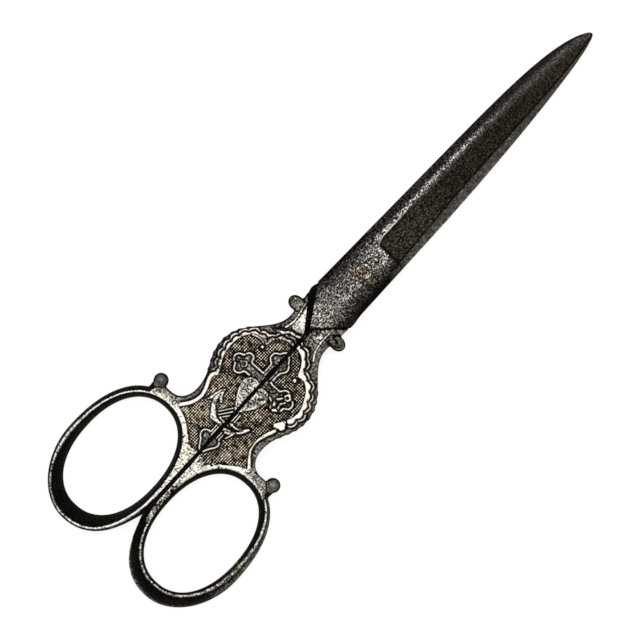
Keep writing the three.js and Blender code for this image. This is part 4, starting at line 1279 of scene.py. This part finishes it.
def handle_piece(name, shift, turn):
    """A handle: its skin carved on both faces, with the wear and painted shade of panel, bow and knob."""
    skin = casting_skin(shift)
    x, y, z = coordinates(skin)[0].T
    front = carved_face(x, y, shift, True)
    back = carved_face(x, y, shift, False)
    drop = np.minimum(z, STACK - z)
    is_front = z > MIDDLE
    carved_z = np.where(is_front, np.minimum(z, STACK + front.level), np.maximum(z, -back.level))
    z = np.where(y > CARVED_FROM, carved_z, z)
    skin.vertices.foreach_set("co", np.stack([x, y, z], 1).ravel())
    skin.update()

    # The panel takes its wear and painted shade from the carving, and the rest from the bow
    normals = coordinates(skin)[1]
    is_front = z > MIDDLE
    own_y = y - shift
    facing = rise(np.abs(normals[:, 2]), *FACING) * ((z - MIDDLE) * normals[:, 2] > 0)
    on_bow = bow_wear(x, own_y, z, normals)
    round_hole = [half + BOW_CLEAR for half in HOLE_HALF]
    from_hole = np.hypot((x - BOW_CENTRE[0]) / round_hole[0], (own_y - BOW_CENTRE[1]) / round_hole[1])
    plate = rise(y, CARVED_FROM - 1, CARVED_FROM + 1) * rise(from_hole, *BOW_CLEAR_RUN)
    plate *= 1 - rise(x, *KNOB_SIDE)
    carved = np.where(is_front, front.wear, back.wear)
    off_scroll = np.hypot((x - SCROLL[0]) / SCROLL_STRETCH, own_y - SCROLL[1])
    # Metal a little below the faces, on rounded edges and in recesses, is painted dark for its shade, except
    # on the scroll
    carved *= 1 - change(drop, SUNK_SHADE) * rise(off_scroll, SCROLL_R, SCROLL_R + 0.3)
    # The walls and steep sides of the panel are painted dark, for their shade
    wall = change(x, SLOT_WALL)
    wear = on_bow + (carved * facing + wall * (1 - facing) - on_bow) * plate
    # The knob's faces are worn grey, and its sides are painted dark for their shade
    knob = 1 - rise(np.hypot(x - KNOB[0], own_y - KNOB[1]), *KNOB_EDGE)
    wear += (np.where(is_front, *KNOB_WEAR) * facing + KNOB_SIDE_SHADE - wear) * knob

    # The front face is duller beside the low end of the parting, and dirt lies along the blade's seam
    dull = change(-y, *DULL_LENGTH) * change(x, *DULL_WIDTH) * is_front
    wear += (DULL_WEAR - wear) * dull * (wear > DULL_WEAR)
    wear *= 1 - DIRT_AND_SHADE * bump(from_joint(x, y), DIRT_HALF) * is_front * (x > 0)

    calm = np.where(is_front, front.calm, back.calm) * plate
    calm -= DULL_GRAIN * dull
    calm += (KNOB_CALM - calm) * knob
    calm += (BRIGHT_CALM - calm) * rise(wear, *BRIGHT_RUN)
    hatch = np.where(is_front, front.hatch, back.hatch) * plate * facing
    keep(skin, wear=wear, hatch=hatch, calm=calm)
    skin.transform(turn)
    return shown(skin, name)


# Materials

def colour(code):
    """An sRGB hex colour as the linear colour that the shaders take."""
    parts = [int(code[i : i + 2], 16) / 255 for i in (1, 3, 5)]
    linear = [p / 12.92 if p <= 0.04045 else ((p + 0.055) / 1.055) ** 2.4 for p in parts]
    return (*linear, 1.0)


def node(tree, kind, links=None, output=0, **settings):
    """Adds a node with its settings. Links and values go to its inputs, and one output comes back."""
    new = tree.nodes.new(kind)
    for key, value in settings.items():
        setattr(new, key, value)
    for key, value in (links or {}).items():
        socket = new.inputs[key]
        if isinstance(value, bpy.types.NodeSocket):
            tree.links.new(value, socket)
        else:
            socket.default_value = value
    return new.outputs[output] if new.outputs else None


def new_material(name):
    material = bpy.data.materials.new(name)
    material.use_nodes = True
    tree = material.node_tree
    tree.nodes.clear()
    return material, tree


def per_metre(millimetres):
    """Noise scale for features of about that size."""
    return 1 / (millimetres * MM)


# Hatching of about 0.35 mm in the casting, drawn at 0.54 mm so that it shows in the render
HATCH_PITCH = 0.54
HATCH_DRIFT = 3.2
HATCH_PATCHES = 1.1
HATCH_DEPTH = -0.42
HATCH_HEIGHT = (0.1, 1.45)
PIT_SIZE = 0.7
STAIN_SIZE = 4.5
NOISE_RANGE = {"From Min": 0.3, "From Max": 0.7}
RELIEF = 0.05 * MM


def hatching(tree, where):
    """Two crossed sets of cut lines. In patches one set is worn away, and some dots are filled with dirt."""
    wavy = {"Vector": where, "Scale": per_metre(HATCH_PITCH) * math.pi / 10, "Distortion": 1.2, "Detail": 1.0}
    bands = {"wave_type": "BANDS", "wave_profile": "SIN", "output": "Fac"}
    lines = [node(tree, "ShaderNodeTexWave", wavy, bands_direction=direction, **bands) for direction in "XY"]
    crossed = node(tree, "ShaderNodeMath", {0: lines[0], 1: lines[1]}, operation="MULTIPLY")
    drift_noise = {"Vector": where, "Scale": per_metre(HATCH_DRIFT), "Detail": 1.0}
    drift = node(tree, "ShaderNodeTexNoise", drift_noise, "Fac")
    worn = node(
        tree, "ShaderNodeMapRange", {"Value": drift, "From Min": 0.45, "From Max": 0.62, "To Max": 0.45}
    )
    crossed = node(tree, "ShaderNodeMix", {"Factor": worn, "A": crossed, "B": lines[0]})
    patch_noise = {"Vector": where, "Scale": per_metre(HATCH_PATCHES), "Detail": 2.0}
    patchy = node(tree, "ShaderNodeTexNoise", patch_noise, "Fac")
    filled = node(tree, "ShaderNodeMapRange", {"Value": patchy, "From Min": 0.35, "From Max": 0.65})
    low, high = HATCH_HEIGHT
    highest = node(tree, "ShaderNodeMapRange", {"Value": filled, "To Min": low, "To Max": high})
    cut_in = node(tree, "ShaderNodeMapRange", {"Value": crossed, "To Min": HATCH_DEPTH, "To Max": highest})
    hatch = node(tree, "ShaderNodeAttribute", output="Fac", attribute_name="hatch")
    return node(tree, "ShaderNodeMath", {0: cut_in, 1: hatch}, operation="MULTIPLY")


def worn_metal(name, tones, patina, specks, blotches, pit, streak=1.0, hatched=False, tint=None):
    """Old metal whose wear attribute runs from dirt and painted shade to rubbed metal and painted highlights.

    Fine specks and wide blotches, each a size and an amount, break the wear up, and pits stay dark in it.
    """
    material, tree = new_material(name)
    where = node(tree, "ShaderNodeTexCoord", output="Object")
    drawn = node(tree, "ShaderNodeMapping", {"Vector": where, "Scale": (1, 1 / streak, 1)})
    wear = node(tree, "ShaderNodeAttribute", output="Fac", attribute_name="wear")
    calm = node(tree, "ShaderNodeAttribute", output="Fac", attribute_name="calm")
    noises = []
    parts = []
    for (size, amount), detail, roughness in ((specks, 3.0, 0.65), (blotches, 4.0, 0.6)):
        pattern = {"Vector": drawn, "Scale": per_metre(size), "Detail": detail, "Roughness": roughness}
        noises.append(node(tree, "ShaderNodeTexNoise", pattern, "Fac"))
        spread = {"Value": noises[-1], **NOISE_RANGE, "To Min": -amount, "To Max": amount}
        parts.append(node(tree, "ShaderNodeMapRange", spread))
    uneven = node(tree, "ShaderNodeMath", {0: parts[0], 1: parts[1]}, operation="ADD")
    # The unevenness is stronger where the metal is bright, so that the dirt and painted shade stay dark
    grows = node(tree, "ShaderNodeMapRange", {"Value": wear, "To Min": 0.28, "To Max": 1.0})
    lively = node(tree, "ShaderNodeMath", {0: 1.0, 1: calm}, operation="SUBTRACT")
    for share in (grows, lively):
        uneven = node(tree, "ShaderNodeMath", {0: uneven, 1: share}, operation="MULTIPLY")
    pit_noise = {"Vector": where, "Scale": per_metre(PIT_SIZE), "Detail": 1.0, "Roughness": 0.5}
    pits = node(tree, "ShaderNodeTexNoise", pit_noise, "Fac")
    pit_range = {"Value": pits, "From Min": 0.3, "From Max": 0.38, "To Min": -pit, "To Max": 0.0}
    dark_pits = node(tree, "ShaderNodeMapRange", pit_range)
    height = noises[0]
    layers = [uneven, dark_pits]
    if hatched:
        lines = hatching(tree, where)
        layers.append(lines)
        height = node(tree, "ShaderNodeMath", {0: height, 1: lines}, operation="ADD")
    for layer in layers:
        wear = node(tree, "ShaderNodeMath", {0: wear, 1: layer}, operation="ADD")

    base = node(tree, "ShaderNodeValToRGB", {"Fac": wear}, "Color")
    elements = base.node.color_ramp.elements
    while len(elements) < len(tones):
        elements.new(0.5)
    for element, (place, code) in zip(elements, tones):
        element.position = place
        element.color = colour(code)
    multiplied = {"data_type": "RGBA", "blend_type": "MULTIPLY", "output": "Result"}
    if tint:
        attribute, code, share = tint
        mask = node(tree, "ShaderNodeAttribute", output="Fac", attribute_name=attribute)
        amount = node(tree, "ShaderNodeMath", {0: mask, 1: share}, operation="MULTIPLY")
        base = node(tree, "ShaderNodeMix", {"Factor": amount, "A": base, "B": colour(code)}, **multiplied)
    stain_noise = {"Vector": where, "Scale": per_metre(STAIN_SIZE), "Detail": 3.0}
    stain = node(tree, "ShaderNodeTexNoise", stain_noise, "Fac")
    stained = node(tree, "ShaderNodeMapRange", {"Value": stain, "From Min": 0.4, "From Max": 0.68})
    base = node(tree, "ShaderNodeMix", {"Factor": stained, "A": base, "B": colour(patina)}, **multiplied)

    # Dark dirt and painted shade are rough and hardly metallic, and rubbed metal and painted highlights are
    # both smoother and bare
    bare = {"Value": wear, "From Min": 0.1, "From Max": 0.6, "To Min": 0.2, "To Max": 1.0}
    smoother = {"Value": wear, "From Min": 0.1, "From Max": 1.0, "To Min": 0.62, "To Max": 0.36}
    surface = {
        "Base Color": base,
        "Metallic": node(tree, "ShaderNodeMapRange", bare),
        "Roughness": node(tree, "ShaderNodeMapRange", smoother),
        "Normal": node(tree, "ShaderNodeBump", {"Height": height, "Strength": 0.35, "Distance": RELIEF}),
        "Specular IOR Level": 0.04,
    }
    shader = node(tree, "ShaderNodeBsdfPrincipled", surface)
    node(tree, "ShaderNodeOutputMaterial", {"Surface": shader})
    return material


# Cast nickel alloy, worn by hands: nearly white where it is rubbed, grey and speckled on its flanks, and
# black with old dirt and painted shade in its recesses and on its walls. The hatched ground of the panel is a
# little browner
CAST_METAL = worn_metal(
    "cast_nickel_alloy_worn",
    [(0.0, "#070605"), (0.2, "#2a2723"), (0.42, "#747069"), (0.65, "#aca8a0"), (1.0, "#f2eee6")],
    "#f8f3ea",
    specks=(0.5, 0.75),
    blotches=(2.6, 0.25),
    pit=0.5,
    hatched=True,
    tint=("hatch", "#ecddc8", 0.85),
)
# Forged and ground steel with a dark patina: fine bright and dark specks, drawn out along the blade, and
# a brown film in the hollow, where no hand rubs it
FORGED_STEEL = worn_metal(
    "forged_steel_patina",
    [(0.0, "#0b0908"), (0.16, "#2e2924"), (0.38, "#5a5652"), (0.65, "#9c9a95"), (1.0, "#eeece8")],
    "#f8f4ee",
    specks=(0.38, 0.68),
    blotches=(3.0, 0.08),
    pit=0.15,
    streak=1.4,
    tint=("hollow", "#ecdec6", 0.8),
)
# Riveted mild steel under a thin film of rust: warm brown, strongly speckled, and bright only where
# highlights are painted on its hammered edge
RIVET_STEEL = worn_metal(
    "riveted_steel_rust",
    [(0.0, "#100b08"), (0.25, "#46392e"), (0.5, "#8a7b6d"), (1.0, "#e8e2d8")],
    "#f8f0e6",
    specks=(0.32, 1.25),
    blotches=(1.6, 0.3),
    pit=0.3,
)


def white_floor():
    """A white card. What the camera and the metal see of it is white, and it keeps the soft shadow."""
    material, tree = new_material("white_card")
    rays = node(tree, "ShaderNodeLightPath", output="Is Camera Ray").node.outputs
    seen = rays["Is Camera Ray"]
    for ray in ("Is Glossy Ray", "Is Transmission Ray"):
        seen = node(tree, "ShaderNodeMath", {0: seen, 1: rays[ray]}, operation="MAXIMUM")
    surface = {
        "Base Color": colour("#a8a8a8"),
        "Roughness": 0.9,
        "Specular IOR Level": 0.1,
        "Emission Color": colour("#ffffff"),
        "Emission Strength": node(tree, "ShaderNodeMath", {0: seen, 1: 0.82}, operation="MULTIPLY"),
    }
    shader = node(tree, "ShaderNodeBsdfPrincipled", surface)
    node(tree, "ShaderNodeOutputMaterial", {"Surface": shader})
    bm = bmesh.new()
    bmesh.ops.create_grid(bm, x_segments=1, y_segments=1, size=FLOOR_HALF)
    bmesh.ops.translate(bm, vec=(0, 0, -FLOOR_DROP), verts=bm.verts[:])
    mesh = mesh_of(bm)
    mesh.materials.append(material)
    floor = bpy.data.objects.new("floor", mesh)
    bpy.context.scene.collection.objects.link(floor)


# Pieces

PIECES = [
    (handle_piece("front_handle_casting", -HANDLE_SHIFT, STRAIGHT), CAST_METAL, "front_half", "front_handle"),
    (handle_piece("back_handle_casting", HANDLE_SHIFT, TURNED), CAST_METAL, "back_half", "back_handle"),
    (blade_piece("front_blade_forging", FRONT_BLADE, STRAIGHT), FORGED_STEEL, "front_half", "front_blade"),
    (blade_piece("back_blade_forging", BACK_BLADE, TURNED), FORGED_STEEL, "back_half", "back_blade"),
    (pin_piece("riveted_pin"), RIVET_STEEL, "back_half", "pivot_pin"),
]
for piece, material, body, cad_node in PIECES:
    piece.data.materials.clear()
    piece.data.materials.append(material)
    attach(piece, body)
    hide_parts(cad_node)

# Scene, in metres
FLOOR_HALF = 3
FLOOR_DROP = 0.05 * MM
FRAME_WIDTH = 153.3 * MM
FRAME_MIDDLE = (0.035 * MM, -15.67 * MM)
ROLL = math.radians(42.33)
SOFTBOX_PLACE = Vector((-0.35, 0.35, 2.2))

scene = bpy.context.scene
white_floor()

lens = bpy.data.cameras.new("camera")
lens.sensor_width = 36
lens.lens = 300
lens.clip_end = 10
camera = bpy.data.objects.new("camera", lens)
camera.location = (*FRAME_MIDDLE, STACK * MM + FRAME_WIDTH * lens.lens / lens.sensor_width)
camera.rotation_euler = (0, 0, ROLL)
scene.collection.objects.link(camera)
scene.camera = camera

lamp = bpy.data.lights.new("softbox", "AREA")
lamp.shape = "DISK"
lamp.size = 2.6
lamp.energy = 22
softbox = bpy.data.objects.new("softbox", lamp)
softbox.location = SOFTBOX_PLACE
softbox.rotation_euler = SOFTBOX_PLACE.to_track_quat("Z", "Y").to_euler()
scene.collection.objects.link(softbox)

world = bpy.data.worlds.new("studio")
world.use_nodes = True
background = world.node_tree.nodes["Background"].inputs
background["Color"].default_value = colour("#ffffff")
background["Strength"].default_value = 0.35
scene.world = world

scene.view_settings.view_transform = "Standard"
